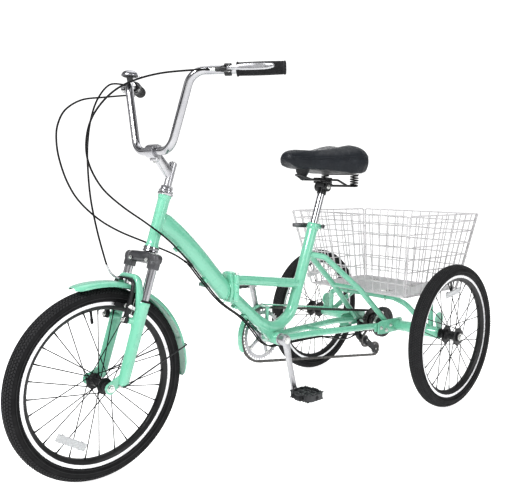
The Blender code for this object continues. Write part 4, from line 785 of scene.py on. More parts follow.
def fork_leg(shape, side):
    """One lower leg of the fork, with its dropout and brake boss."""
    x = side * LEG_X
    profile = [(0.0136, LEG_TOP + 0.0005), (0.0168, LEG_TOP + 0.0005), (0.0172, LEG_TOP - 0.001),
               (0.0172, LEG_TOP - 0.0075), (0.0164, LEG_TOP - 0.0095), (0.0161, -0.2300), (0.0155, -0.3100),
               (0.0150, LEG_FOOT + 0.004), (0.0144, LEG_FOOT - 0.004), (0.0118, LEG_FOOT - 0.0105),
               (0.0060, LEG_FOOT - 0.0145), (0.0010, LEG_FOOT - 0.0152)]
    base = steer_point(x, LEG_FORWARD, 0)
    shape.lathe(profile, base, UP_FORK, 48)
    foot, eye = STEER.inverted() @ steer_point(x, LEG_FORWARD, LEG_FOOT + 0.010), STEER.inverted() @ FRONT_AXLE
    outline = stadium((foot.y, foot.z), 0.0135, (eye.y, eye.z), 0.0128, 14)
    shape.plate(outline, 0.0072, STEER @ in_side_plane(side * (LEG_X - 0.002)), 0.0012)
    lip, hole = (flat_ring(radius, 32, (eye.y, eye.z)) for radius in (0.0150, 0.0100))
    shape.ring_plate(lip, hole, 0.0030, STEER @ in_side_plane(side * (LEG_X + 0.0020)))
    boss_low = steer_point(side * (LEG_X - 0.008), LEG_FORWARD, BOSS_UP)
    boss_high = steer_point(side * (LEG_X - 0.009), 0.0470, BOSS_UP)
    shape.rod(boss_low, boss_high, 0.0115, 0.0078, 24, 0.0008)
    rib = [steer_point(side * (LEG_X - 0.004), LEG_FORWARD + 0.010, up) for up in (-0.165, -0.180, -0.205, -0.225)]
    shape.tube(rib, 0.006, 12, radii=[0.0035, 0.0085, 0.0085, 0.0040])


lowers = Shape()
for _, side in SIDES:
    fork_leg(lowers, side)
arch_low = [(LEG_X - 0.001, LEG_FORWARD + 0.003, -0.196), (LEG_X - 0.001, LEG_FORWARD + 0.006, -0.166),
            (LEG_X - 0.004, LEG_FORWARD + 0.016, -0.126), (0.036, 0.0425, -0.0855)]
arch_points = [steer_point(*p) for p in arch_low + [(-x, f, u) for x, f, u in arch_low[::-1]]]


def arch_sizes(share):
    """The half sizes of the arch between the fork legs, at a share of its length."""
    from_middle = abs(2 * share - 1)
    return 0.0098 + 0.0044 * from_middle**2, 0.0066 + 0.0030 * from_middle


lowers.sweep(smooth_path(rounded(arch_points, 0.022, 4), 46), AHEAD, arch_sizes, 20, 2.6)
piece("fork_lower_casting", lowers, MINT, "fork_lowers", ("fork_lowers",), bevel=0.0006)

seals = Shape()
for _, side in SIDES:
    base = steer_point(side * LEG_X, LEG_FORWARD, 0)
    seals.lathe([(0.0146, LEG_TOP - 0.0002), (0.0150, LEG_TOP + 0.0022), (0.0142, LEG_TOP + 0.0048),
                 (0.0126, LEG_TOP + 0.0060),
                 (0.0119, LEG_TOP + 0.0062), (0.0119, LEG_TOP - 0.0002)], base, UP_FORK, 40, closed=True)
piece("fork_dust_seals", seals, GRIP, "fork_lowers")

fork_bolts = Shape()
for _, side in SIDES:
    fork_bolts.bolt(FRONT_AXLE + Vector((side * (LEG_X + 0.0030), 0.0280, 0)), X * side, 0.0048, 0.0034, 24)
    fork_bolts.bolt(steer_point(side * (LEG_X - 0.009), 0.0605, BOSS_UP), AHEAD, 0.0056, 0.0035, 6)
piece("fork_bolts", fork_bolts, BRIGHT_BOLT, "fork_lowers")


def fender():
    """A crowned sheet with rolled edges, a flared tip ahead and a rounded tail behind."""
    radius, first, last, steps = 0.2665, -6.5, 106.0, 60
    half = [(0.0300, -0.0115), (0.0292, -0.0085), (0.0262, -0.0040), (0.0215, -0.0012), (0.0150, 0.0004),
            (0.0070, 0.0012)]
    section = [(-x, drop) for x, drop in half] + half[::-1]
    rings = []
    for step in range(steps + 1):
        share = step / steps
        out = out_at(math.radians(first + (last - first) * share))
        from_tail, from_tip = share * (last - first), (1 - share) * (last - first)
        narrow = min(1.0, 0.16 + 0.84 * math.sqrt(min(1.0, from_tail / 9.0)),
                     0.62 + 0.38 * math.sqrt(min(1.0, from_tip / 5.0)))
        crest = radius + 0.0016 * max(0.0, 1 - from_tip / 14.0)
        outer, inner = (
            [FRONT_AXLE + out * (crest + drop * narrow - thick) + X * x * narrow * close for x, drop in section]
            for thick, close in ((0, 1), (0.0013, 0.965))
        )
        rings.append(outer + inner[::-1])
    shape = Shape().skin(rings)
    for side in (0, len(section) - 1):
        shape.tube([ring[side] for ring in rings[1:-1]], 0.0013, 8)
    return shape


piece("front_fender_sheet", fender(), MINT, "fork_lowers", ("front_fender",), smooth=50)

stay_wire = Shape()
tail_out = out_at(math.radians(14))
for _, side in SIDES:
    start = FRONT_AXLE + Vector((side * (LEG_X + 0.0130), 0.0290, -0.0010))
    knee = FRONT_AXLE + tail_out * 0.2360 + X * side * 0.0345
    end = FRONT_AXLE + tail_out * 0.2560 + X * side * 0.0310
    line = [start, start + (knee - start) * 0.08 + X * side * 0.004, knee, end,
            end + tail_out * 0.012 - X * side * 0.004]
    stay_wire.tube(rounded(line, 0.012, 4), 0.0020, 10)
across = [FRONT_AXLE + tail_out * reach + X * x
          for reach, x in ((0.2680, 0.0270), (0.2705, 0.012), (0.2705, -0.012), (0.2680, -0.0270))]
stay_wire.tube(rounded(across, 0.010, 3), 0.0020, 10)
piece("fender_stay", stay_wire, BLACK_METAL, "fork_lowers")


def crown():
    """The cast crown: an arm to each stanchion's socket from the steerer's foot, with a rib."""
    stations = ((-0.0745, 0.018, -0.0300, 0.006), (-0.0715, 0.018, -0.0300, 0.0120), (-0.0640, 0.018, -0.0300, 0.0150),
                (-0.0500, 0.0165, -0.0292, 0.0155), (-0.0330, 0.0125, -0.0280, 0.0165),
                (-0.0160, 0.0075, -0.0275, 0.0185),
                (0.0, 0.0045, -0.0275, 0.0198))
    rings = []
    for x, forward, rise, half in stations + tuple((-x, f, u, h) for x, f, u, h in stations[-2::-1]):
        ring = oval((x, -forward, rise), Y, Z, half * 1.05, min(half, 0.0110 + 0.25 * half), 28, 2.8)
        rings.append([STEER @ point for point in ring])
    shape = Shape().skin(rings)
    shape.lathe([(0.0172, -0.0225), (0.0188, -0.0200), (0.0188, -0.0140), (0.0175, -0.0118), (STEERER_R, -0.0118)],
                HEAD_BASE, UP_FORK, 40)
    for _, side in SIDES:
        base = steer_point(side * LEG_X, LEG_FORWARD, 0)
        shape.lathe([(0.0120, -0.0570), (0.0158, -0.0572), (0.0166, -0.0555), (0.0166, -0.0400), (0.0158, -0.0210),
                     (0.0146, -0.0185)], base, UP_FORK, 40)
    return shape


piece("fork_crown_casting", crown(), CAST, "steering", ("fork_crown",), bevel=0.0005)
crown_details = Shape()
for _, side in SIDES:
    base = steer_point(side * LEG_X, LEG_FORWARD, 0)
    crown_details.lathe([(0.0128, -0.0190), (0.0130, -0.0172), (0.0118, -0.0160)], base, UP_FORK, 32)
    crown_details.bolt(steer_point(side * (LEG_X - 0.018), LEG_FORWARD + 0.0140, -0.036), AHEAD, 0.0042, 0.0030, 6)
piece("fork_crown_caps", crown_details, BRIGHT_BOLT, "steering")
steerer = Shape().rod(steer_point(0, 0, -0.020), steer_point(0, 0, HEAD_LENGTH + 0.019), STEERER_R - 0.0001, sides=32)
piece("steerer_tube", steerer, CHROME, "steering")
for name, side in SIDES:
    stanchion = Shape().rod(steer_point(side * LEG_X, LEG_FORWARD, -0.0330),
                            steer_point(side * LEG_X, LEG_FORWARD, -0.235), STANCHION_R, sides=40)
    piece("stanchion_tube_" + name, stanchion, CHROME, "steering", ("stanchion_" + name,))

lower_cup = [(0.0168, 0.0040), (0.0205, 0.0034), (0.0214, 0.0010), (0.0214, -0.0020), (0.0200, -0.0034),
             (0.0200, -0.0052), (0.0218, -0.0064), (0.0222, -0.0088), (0.0205, -0.0106), (0.0160, -0.0110)]
upper_cup = [(0.0168, -0.0035), (0.0198, -0.0030), (0.0212, -0.0008), (0.0214, 0.0030), (0.0196, 0.0046),
             (0.0196, 0.0058), (0.0206, 0.0070), (0.0206, 0.0100), (0.0188, 0.0112), (0.0170, 0.0122), (0.0170, 0.0160),
             (0.0158, 0.0172), (0.0130, 0.0176)]
piece("headset_lower_cups", Shape().lathe(lower_cup, HEAD_BASE, UP_FORK, 48), CHROME, "front_frame", ("headset_lower",))
piece("headset_upper_cups", Shape().lathe(upper_cup, steer_point(0, 0, HEAD_LENGTH), UP_FORK, 48), CHROME,
      "front_frame", ("headset_upper",))
lock_nut = Shape().rod(steer_point(0, 0, HEAD_LENGTH + 0.0168), steer_point(0, 0, HEAD_LENGTH + 0.0235), 0.0168,
                       sides=6, chamfer=0.0012)
piece("headset_lock_nut", lock_nut, CHROME, "steering")

# rim brakes: an arm on each side of the front wheel, with its pad, spring and bolts
PAD_UP = -0.1625
RIM_ARM = ((0.0470, -0.2070, 0.0068, 0.0088), (0.0470, -0.1980, 0.0070, 0.0092), (0.0472, -0.1840, 0.0056, 0.0066),
           (0.0468, -0.1500, 0.0046, 0.0056), (0.0452, -0.1160, 0.0042, 0.0050), (0.0385, -0.1010, 0.0042, 0.0050),
           (0.0270, -0.0965, 0.0044, 0.0052), (0.0180, -0.0962, 0.0036, 0.0040))
for name, side in SIDES:
    body = name + "_rim_brake"

    def beside_rim(x, forward=BRAKE_FORWARD, rise=PAD_UP):
        return steer_point(side * x, forward, rise)

    path = smooth_path([beside_rim(x, rise=rise) for x, rise, _, _ in RIM_ARM], 34)
    arm = Shape().sweep(path, AHEAD, lambda share: between(RIM_ARM, share)[2:], 16, 3.0)
    arm.rod(beside_rim(0.0560), beside_rim(0.0240), 0.0036, sides=16)
    piece("rim_brake_casting_" + name, arm, BLACK_METAL, body, ("rim_brake_arm_" + name,), bevel=0.0004)
    pad = Shape()
    for x, length, tall in ((0.0213, 0.050, 0.0105), (0.0178, 0.048, 0.0095)):
        pad.box(beside_rim(x, rise=PAD_UP - 0.0015), (0.0046, length, tall), STEER.to_3x3(), 0.0012)
    piece("rim_brake_pad_" + name, pad, GRIP, body)
    hardware = Shape().rod(beside_rim(0.0520), beside_rim(0.0585), 0.0056, sides=6, chamfer=0.0007)
    hardware.rod(beside_rim(0.0400), beside_rim(0.0355), 0.0066, sides=24, chamfer=0.0008)
    coils = [beside_rim(0.0470 - 0.004 * math.cos(a), BRAKE_FORWARD - 0.010 + a * 0.0002,
                        BOSS_UP + 0.0085 * math.sin(a))
             for a in (0.5 * i for i in range(14))]
    leg = [beside_rim(0.0530, BRAKE_FORWARD - 0.009, rise) for rise in (-0.180, -0.160, -0.140)]
    hardware.tube(smooth_path(coils + leg, 60), 0.0008, 6)
    piece("rim_brake_hardware_" + name, hardware, BRIGHT_BOLT, body)

# ---------------------------------------------------------------- front frame


def hinge_flange(shape, direction):
    """One thick oval flange of the fold hinge, with a raised rim."""
    near, far = HINGE.y + direction * HINGE_GAP / 2, HINGE.y + direction * 0.0130
    stops = ((near, 0.0292, 0.0462), (near + direction * 0.0009, 0.0300, 0.0470),
             (far - direction * 0.0050, 0.0300, 0.0470),
             (far - direction * 0.0030, 0.0285, 0.0455), (far, 0.0262, 0.0430))
    shape.skin([oval((0, y, HINGE.z), X, Z, wide, tall, 48, 2.8) for y, wide, tall in stops])


DOWNTUBE = (
    # y, z, half height, half width
    (-0.412, 0.672, 0.0220, 0.0150), (-0.394, 0.655, 0.0295, 0.0180), (-0.350, 0.621, 0.0280, 0.0210),
    (-0.290, 0.565, 0.0270, 0.0220), (-0.235, 0.507, 0.0265, 0.0220), (-0.172, 0.4415, 0.0265, 0.0220),
)
STOP_X = 0.0065

front = Shape()
line = smooth_path([(0, y, z) for y, z, _, _ in DOWNTUBE], 36)
front.sweep(line, X, lambda share: between(DOWNTUBE, share)[:1:-1], 40, 2.3)
half = [(0.0150, 0.0002), (0.0182, 0.0004), (0.0186, 0.0016), (0.0186, 0.0085), (0.0168, 0.0110), (0.0165, 0.0200)]
front.lathe(half + [(radius, HEAD_LENGTH - height) for radius, height in half[::-1]], HEAD_BASE, UP_FORK, 56)
hinge_flange(front, -1)
THIRDS = [HINGE.z + HINGE_HEIGHT * (fraction - 0.5) for fraction in (0.08, 0.36, 0.64, 0.92)]
front.rod((HINGE.x, HINGE.y, THIRDS[1] + 0.0004), (HINGE.x, HINGE.y, THIRDS[2] - 0.0004), 0.0085, sides=28,
          chamfer=0.0008)

# the weld where the big tube meets the head tube, found along lines drawn back from a section of it
tall, wide = between(DOWNTUBE, 0.02)[2:]
start = Vector((0, *DOWNTUBE[0][:2]))
towards = (Vector((0, *DOWNTUBE[1][:2])) - start).normalized()
weld = []
for point in oval(start + towards * 0.03, X, X.cross(towards).normalized(), wide + 0.0004, tall, 64, 2.3):
    gap = point - HEAD_BASE
    flat = gap - UP_FORK * gap.dot(UP_FORK)
    d = -towards + UP_FORK * towards.dot(UP_FORK)
    a, b, c = d.dot(d), flat.dot(d), flat.dot(flat) - 0.0168**2
    weld.append(point - towards * ((-b - math.sqrt(max(b * b - a * c, 0))) / a))
front.bead(weld, 0.0016)
foot = between(DOWNTUBE, 0.985)
front.bead(oval((0, foot[0] - 0.0015, foot[1] + 0.002), X, Vector((0, 0.28, 0.96)), 0.0228, 0.0352, 64, 2.3), 0.0015)
for share in (0.46, 0.80):
    y, z, tall, wide = between(DOWNTUBE, share)
    ahead = between(DOWNTUBE, share + 0.05)
    run = Vector((0, ahead[0] - y, ahead[1] - z)).normalized()
    under = run.cross(X)
    under = under if under.z < 0 else -under
    for x in (-STOP_X, STOP_X):
        spot = Vector((x, y, z)) + under * (tall + 0.0030)
        front.rod(spot - run * 0.007, spot + run * 0.007, 0.0042, sides=18, chamfer=0.0006)
    turn = Matrix((X, run, run.cross(-X))).transposed()
    front.box(Vector((0, y, z)) + under * (tall + 0.0008), (0.021, 0.011, 0.006), turn, 0.001)
piece("front_frame_tubes", front, MINT, "front_frame", ("front_frame",), smooth=45)

# ---------------------------------------------------------------- stem, handlebar and controls

ARM = (BAR_END - BAR_CORNER_HIGH).normalized()
ARM_LENGTH = (BAR_END - BAR_CORNER_HIGH).length
ARM_FRONT = ARM.cross(Z).normalized()
ARM_FRONT = -ARM_FRONT if ARM_FRONT.y > 0 else ARM_FRONT
ARM_UP = ARM_FRONT.cross(ARM).normalized()
ARM_UP = -ARM_UP if ARM_UP.z < 0 else ARM_UP
CLAMP = Vector((0, BAR_CORNER_LOW.y, BAR_CORNER_LOW.z))
GRIP_START = ARM_LENGTH - GRIP_LENGTH
LEVER_ALONG = GRIP_START - 0.022
BARREL_FRONT, BARREL_UP = 0.0165, -0.001


def on_arm(along, front=0.0, up=0.0, side=1):
    """A point near one arm of the bar: how far from the corner, ahead of it and above it."""
    point = BAR_CORNER_HIGH + ARM * along + ARM_FRONT * front + ARM_UP * up
    return Vector((side * point.x, point.y, point.z))


def arm_direction(side, along=0.0, front=0.0, up=0.0):
    """A direction given along, ahead of and above one arm of the bar."""
    direction = ARM * along + ARM_FRONT * front + ARM_UP * up
    return Vector((side * direction.x, direction.y, direction.z))


def arm_turn(side):
    """The rotation that lays a box's X along one arm of the bar, and its Z up from it."""
    along, rise = arm_direction(side, 1), arm_direction(side, 0, 0, 1)
    return Matrix((along, rise.cross(along), rise)).transposed().to_4x4()


bar_line = [BAR_END, BAR_CORNER_HIGH, BAR_CORNER_LOW]
bar_line = bar_line + [Vector((-p.x, p.y, p.z)) for p in bar_line[::-1]]
piece("handlebar_tube", Shape().tube(rounded(bar_line, 0.048, 14), BAR_R, 32), CHROME, "steering", ("handlebar",))

quill_top = (STEER.inverted() @ Vector((0, -0.366, 0.823))).z
stem = Shape().rod(steer_point(0, 0, 0.140), steer_point(0, 0, quill_top), QUILL_R, sides=36, chamfer=0.0008)
root = steer_point(0, 0.002, quill_top - 0.034)
reach = (CLAMP - root).normalized()
rise = X.cross(reach)
sections = ((-0.06, 0.0080, 0.0150), (0.0, 0.0098, 0.0165), (0.25, 0.0106, 0.0150), (0.5, 0.0115, 0.0132),
            (0.75, 0.0132, 0.0128), (0.95, 0.0152, 0.0130))
stem.skin([oval(root.lerp(CLAMP, share), X, rise, wide, tall, 28, 2.8) for share, wide, tall in sections])
clamp_ring = [(0.0180, -0.0188), (0.0187, -0.0180), (0.0187, 0.0180), (0.0180, 0.0188), (BAR_R, 0.0188),
              (BAR_R, -0.0188)]
stem.lathe(clamp_ring, CLAMP, X, 44, closed=True)
lug = CLAMP + Vector((0, 0.004, -0.0190))
stem.box(lug, (0.030, 0.014, 0.013), bevel=0.002)
piece("stem_casting", stem, SATIN, "steering", ("stem",), bevel=0.0005)
stem_bolts = Shape().rod(steer_point(0, 0, quill_top - 0.001), steer_point(0, 0, quill_top + 0.0035), 0.0058, sides=6,
                         chamfer=0.0006)
stem_bolts.bolt(lug - Z * 0.0062, -Z, 0.0046, 0.0036)
for x in (-0.013, 0.013):
    stem_bolts.rod(CLAMP + Vector((x, 0.0145, 0.0130)), CLAMP + Vector((x, 0.0170, 0.0160)), 0.0030, sides=16,
                   chamfer=0.0005)
piece("stem_bolts", stem_bolts, BRIGHT_BOLT, "steering")


def ribbed_sleeve(start, end, radius, side, pitch=0.0030, depth=0.0008):
    """A rubber sleeve with rings round it, a flange at its inner end and a rounded cap at its outer one."""
    profile = [(BAR_R, start), (radius + 0.0010, start), (radius + 0.0016, start + 0.0010),
               (radius + 0.0016, start + 0.0034), (radius, start + 0.0046)]
    count = int((end - start - 0.014) / pitch)
    for index in range(count):
        at = start + 0.007 + index * pitch
        crest = radius + 0.0007 * math.sin(math.pi * index / count)
        profile += [(crest, at), (crest, at + pitch * 0.52), (crest - depth, at + pitch * 0.64),
                    (crest - depth, at + pitch * 0.90)]
    profile += [(radius, end - 0.0055), (radius + 0.0006, end - 0.0035), (radius, end - 0.0012), (radius - 0.0020, end)]
    return Shape().lathe(profile, on_arm(0, side=side), arm_direction(side, 1), 44)


for name, side, start in (("left", 1, GRIP_START), ("right", -1, GRIP_START + SHIFTER_LENGTH)):
    sleeve = ribbed_sleeve(start, ARM_LENGTH + 0.004, GRIP_R, side)
    piece("grip_sleeve_" + name, sleeve, GRIP, "steering", ("grip_" + name,), smooth=50)

foot, along = on_arm(0, side=-1), arm_direction(-1, 1)
shifter_end = GRIP_START + SHIFTER_LENGTH
shifter = Shape().lathe([(BAR_R, GRIP_START + 0.0010), (0.0190, GRIP_START + 0.0010), (0.0196, GRIP_START + 0.0024),
                         (0.0196, GRIP_START + 0.0130), (0.0178, GRIP_START + 0.0160), (0.0172, shifter_end - 0.0040),
                         (0.0180, shifter_end - 0.0012), (BAR_R, shifter_end - 0.0010)], foot, along, 48)
u, v = arm_direction(-1, 0, 1), arm_direction(-1, 0, 0, 1)
for a in round_turn(20):
    start = on_arm(GRIP_START + 0.0165, side=-1) + (u * math.cos(a) + v * math.sin(a)) * 0.0176
    shifter.tube([start, start + along * 0.0215], 0.0012, 8, radii=[0.0014, 0.0010])
piece("shifter_sleeve", shifter, GRIP, "twist_shifter", ("shifter_twist",), smooth=40)

shifter_body = Shape().lathe([(BAR_R, GRIP_START - 0.0150), (0.0165, GRIP_START - 0.0145),
                              (0.0185, GRIP_START - 0.0110),
                              (0.0190, GRIP_START + 0.0002), (BAR_R, GRIP_START + 0.0002)], foot, along, 40)
shifter_body.rod(on_arm(GRIP_START - 0.004, 0.004, -0.0205, -1), on_arm(GRIP_START - 0.020, 0.009, -0.0235, -1), 0.0052,
                 0.0040, 16, 0.0008)
piece("shifter_housing", shifter_body, PLASTIC, "steering")

LEVER_PIVOT = LEVER_ALONG + 0.006
LEVER = (
    # along from the pivot, ahead, half height, half thickness
    (-0.002, 0.0300, 0.0048, 0.0040), (0.004, 0.0335, 0.0050, 0.0042), (0.018, 0.0385, 0.0056, 0.0036),
    (0.034, 0.0405, 0.0076, 0.0030), (0.060, 0.0415, 0.0082, 0.0028), (0.086, 0.0402, 0.0078, 0.0028),
    (0.100, 0.0412, 0.0068, 0.0030), (0.1085, 0.0440, 0.0052, 0.0036), (0.1115, 0.0456, 0.0028, 0.0022),
)
for name, side in SIDES:
    along, ahead, rise = (arm_direction(side, *axis) for axis in ((1,), (0, 1), (0, 0, 1)))

    def barrel(distance, front=BARREL_FRONT):
        """A point on the line of the cable's barrel, at a distance along the arm from the lever's clamp."""
        return on_arm(LEVER_ALONG + distance, front, BARREL_UP, side)

    def at_pivot(up, front=0.0300):
        return on_arm(LEVER_PIVOT, front, up, side)

    band = [(0.0142, LEVER_ALONG - 0.0090), (0.0155, LEVER_ALONG - 0.0078), (0.0155, LEVER_ALONG + 0.0078),
            (0.0142, LEVER_ALONG + 0.0090), (BAR_R, LEVER_ALONG + 0.0090), (BAR_R, LEVER_ALONG - 0.0090)]
    mount = Shape().lathe(band, on_arm(0, side=side), along, 40, closed=True)
    mount.tube([barrel(-0.016), barrel(-0.006, 0.0185), barrel(0.004, 0.0215)], 0.008, 20,
               radii=[0.0070, 0.0088, 0.0085])
    for lift in (0.0050, -0.0082):
        mount.skin([oval(at_pivot(lift + half, 0.0270) - along * 0.003, along, ahead, 0.0095, 0.0095, 24, 2.3)
                    for half in (-0.0014, 0.0014)])
    mount.rod(barrel(-0.014), barrel(-0.030), 0.0062, 0.0056, 20, 0.0008)
    for a in round_turn(10):
        start = barrel(-0.0165) + (ahead * math.cos(a) + rise * math.sin(a)) * 0.0057
        mount.rod(start, start - along * 0.0110, 0.0008, sides=6)
    mount.box(on_arm(LEVER_ALONG, -0.0150, -0.002, side), (0.0140, 0.0080, 0.0100), arm_turn(side), 0.0015)
    piece("brake_lever_housing_" + name, mount, BLACK_METAL, "steering", ("brake_lever_mount_" + name,), bevel=0.0004)
    fittings = Shape().rod(barrel(-0.029), barrel(-0.043), 0.0040, 0.0036, 16, 0.0006)
    fittings.bolt(on_arm(LEVER_ALONG, -0.0150, -0.0068, side), -rise, 0.0036, 0.0028)
    fittings.rod(at_pivot(0.0075), at_pivot(-0.0110), 0.0030, sides=20, chamfer=0.0006)
    piece("brake_lever_fittings_" + name, fittings, BRIGHT_BOLT, "steering")

    path = smooth_path([on_arm(LEVER_PIVOT + a, front, -0.002, side) for a, front, _, _ in LEVER], 40)
    blade = Shape().sweep(path, rise, lambda share: between(LEVER, share)[2:])
    blade.rod(at_pivot(0.0028), at_pivot(-0.0066), 0.0066, sides=24, chamfer=0.0006)
    piece("brake_lever_blade_" + name, blade, SATIN, name + "_brake_lever", ("brake_lever_" + name,), bevel=0.0003)

BELL = Vector((-0.136, -0.418, 1.0665))
dome = [(0.0235, -0.0016), (0.0240, 0.0000), (0.0237, 0.0014), (0.0224, 0.0052), (0.0196, 0.0088), (0.0152, 0.0118),
        (0.0098, 0.0138), (0.0052, 0.0145), (0.0050, 0.0148), (0.0036, 0.0150), (0.0008, 0.0150)]
piece("bell_cover", Shape().lathe(dome, BELL, Z, 56), CHROME, "steering", ("bell_dome",))
bell_foot = Shape().rod(BELL - Z * 0.0040, BELL - Z * 0.0012, 0.0190, 0.0215, 40, 0.0006)
bell_foot.rod(BELL - Z * 0.0170, BELL - Z * 0.0030, 0.0075, 0.0100, 24, 0.0006)
piece("bell_base", bell_foot, BLACK_METAL, "steering")
striker = Shape().rod(BELL - Z * 0.0045, BELL - Z * 0.0085, 0.0060, sides=24, chamfer=0.0006)
hammer = BELL + Vector((0.030, 0.016, -0.005))
striker.tube(rounded([BELL - Z * 0.0065, BELL + Vector((0.016, 0.010, -0.0065)), hammer], 0.01, 4), 0.0018, 12)
striker.ball(hammer, 0.0038, (1, 1, 0.8))
piece("bell_hammer", striker, SATIN, "bell_striker", ("bell_striker",))

# ---------------------------------------------------------------- rear frame

BENT_START, BENT_NEXT = Vector((0, -0.1535, 0.433)), Vector((0, -0.041, 0.339))
BENT = rounded([BENT_START, BENT_NEXT, (0, 0.030, 0.298), (0, 0.110, 0.340), SEAT_BEND, SEAT_TOP], 0.075, 10)
CHAIN_STAY_R, SEAT_STAY_R, TOP_TUBE_R = 0.0110, 0.0100, 0.0155


def stay_paths(side):
    """The middle lines of the chain stay and the seat stay on one side."""
    chain = rounded([(0.022 * side, 0.044, 0.272), (0.040 * side, 0.200, 0.270),
                     ((PLATE_X - 0.012) * side, 0.420, 0.262),
                     ((PLATE_X - 0.0095) * side, 0.530, 0.2535)], 0.08, 6)
    seat = rounded([(0.008 * side, 0.196, 0.535), (0.034 * side, 0.238, 0.526), (0.060 * side, 0.410, 0.395),
                    ((PLATE_X - 0.0085) * side, 0.552, 0.2620)], 0.04, 6)
    return chain, seat


rear = Shape().tube(BENT, SEAT_TUBE_R, 36)
top_bend, top_end = Vector((0, -0.10, 0.4735)), SEAT_BEND + Vector((0, -0.002, 0.003))
rear.tube(rounded([(0, -0.150, 0.476), top_bend, top_end], 0.2, 4), TOP_TUBE_R, 32)
hinge_flange(rear, 1)
rear.axle(CRANK, -SHELL_HALF, SHELL_HALF, SHELL_R, sides=44, chamfer=0.0010)
rear.rod(SEAT_TOP - SEAT_AXIS * 0.0200, SEAT_TOP, SEAT_TUBE_R + 0.0025, sides=44, chamfer=0.0010)
gusset = [(-0.040, 0.328), (-0.030, 0.306), (-0.012, 0.290), (0.002, 0.277), (0.012, 0.266), (0.030, 0.258),
          (0.042, 0.259),
          (0.050, 0.268), (0.066, 0.294), (0.080, 0.318), (0.052, 0.314), (0.030, 0.312), (0.000, 0.318)]
rear.plate(gusset, 0.0240, in_side_plane(0), 0.0014)
dropout = [(0.472, 0.2390), (0.560, 0.2340), (0.568, 0.2370), (0.570, 0.2420), (0.570, 0.2640), (0.564, 0.2695),
           (0.530, 0.2715), (0.480, 0.2690), (0.470, 0.2630), (0.468, 0.2440)]
for _, side in SIDES:
    chain_path, seat_path = stay_paths(side)
    rear.tube(chain_path, CHAIN_STAY_R, 24)
    rear.tube(seat_path, SEAT_STAY_R, 24)
    rear.plate(dropout, 0.0050, in_side_plane(PLATE_X * side), 0.0008)
    run = (chain_path[0] - chain_path[1]).normalized()
    rear.bead(joint_line(chain_path[0] - run * 0.03, run, CHAIN_STAY_R, CRANK, X, SHELL_R), 0.0013)
    run = (seat_path[0] - seat_path[1]).normalized()
    rear.bead(joint_line(seat_path[0] - run * 0.020, run, SEAT_STAY_R, SEAT_TOP, SEAT_AXIS, SEAT_TUBE_R), 0.0012)
for reach, y, z, radius in ((0.062, 0.395, 0.405, 0.0075), (0.045, 0.240, 0.2695, 0.0080)):
    rear.tube([(-reach, y, z), (reach, y, z)], radius, 20)
for low, high in (THIRDS[0:2], THIRDS[2:4]):
    rear.rod((HINGE.x, HINGE.y, low), (HINGE.x, HINGE.y, high), 0.0085, sides=28, chamfer=0.0008)
rear.bead(joint_line(top_bend, top_end - top_bend, TOP_TUBE_R, SEAT_TOP, SEAT_AXIS, SEAT_TUBE_R), 0.0014)
rear.bead(oval((0, HINGE.y + 0.0135, 0.4757), X, Z, 0.0160, 0.0162, 48), 0.0014)
bent_run = (BENT[1] - BENT[0]).normalized()
rear.bead([p + bent_run * ((HINGE.y + 0.0138 - p.y) / bent_run.y)
           for p in oval(BENT[0], X, X.cross(bent_run), SEAT_TUBE_R, SEAT_TUBE_R, 56)], 0.0014)
rear.box(QR + Vector((0, -0.006, 0)), (0.0220, 0.0180, 0.0160), turn_to(SEAT_AXIS), 0.0030, 3)
under = X.cross(bent_run).normalized()
under = under if under.z < 0 else -under
for share in (0.25, 0.6):
    for x in (-STOP_X, STOP_X):
        spot = BENT_START.lerp(BENT_NEXT, share) + X * x + under * (SEAT_TUBE_R + 0.0020)
        rear.rod(spot - bent_run * 0.006, spot + bent_run * 0.006, 0.0040, sides=16, chamfer=0.0006)
piece("rear_frame_tubes", rear, MINT, "rear_frame", ("rear_frame",), smooth=45)

seat_bolt = Shape().axle(QR, -0.0160, 0.0215, 0.0034, sides=20, chamfer=0.0006)
seat_bolt.axle(QR, 0.0145, 0.0215, 0.0068, chamfer=0.0010)
seat_bolt.axle(QR, -0.0160, -0.0115, 0.0070, chamfer=0.0008)
piece("seat_clamp_bolt", seat_bolt, CAST, "rear_frame")
pin_head = HINGE.z + HINGE_HEIGHT / 2
pin = Shape().lathe([(0.0034, THIRDS[0] - 0.002), (0.0034, THIRDS[3]), (0.0062, THIRDS[3] + 0.0004),
                     (0.0062, pin_head - 0.0010), (0.0050, pin_head)], (HINGE.x, HINGE.y, 0), Z, 28)
piece("hinge_pin_turned", pin, BRIGHT_BOLT, "rear_frame", ("hinge_pin",))

cups = Shape()
for _, side in SIDES:
    cups.axle(CRANK, side * (SHELL_HALF - 0.001), side * (SHELL_HALF + 0.0026), 0.0192, sides=40, chamfer=0.0008)
    for a in round_turn(8):
        cups.axle(CRANK + out_at(a) * 0.0155, side * (SHELL_HALF + 0.0022), side * (SHELL_HALF + 0.0032), 0.0018,
                  sides=8)
piece("bottom_bracket_cups", cups, SATIN, "rear_frame")

# ---------------------------------------------------------------- axle carrier

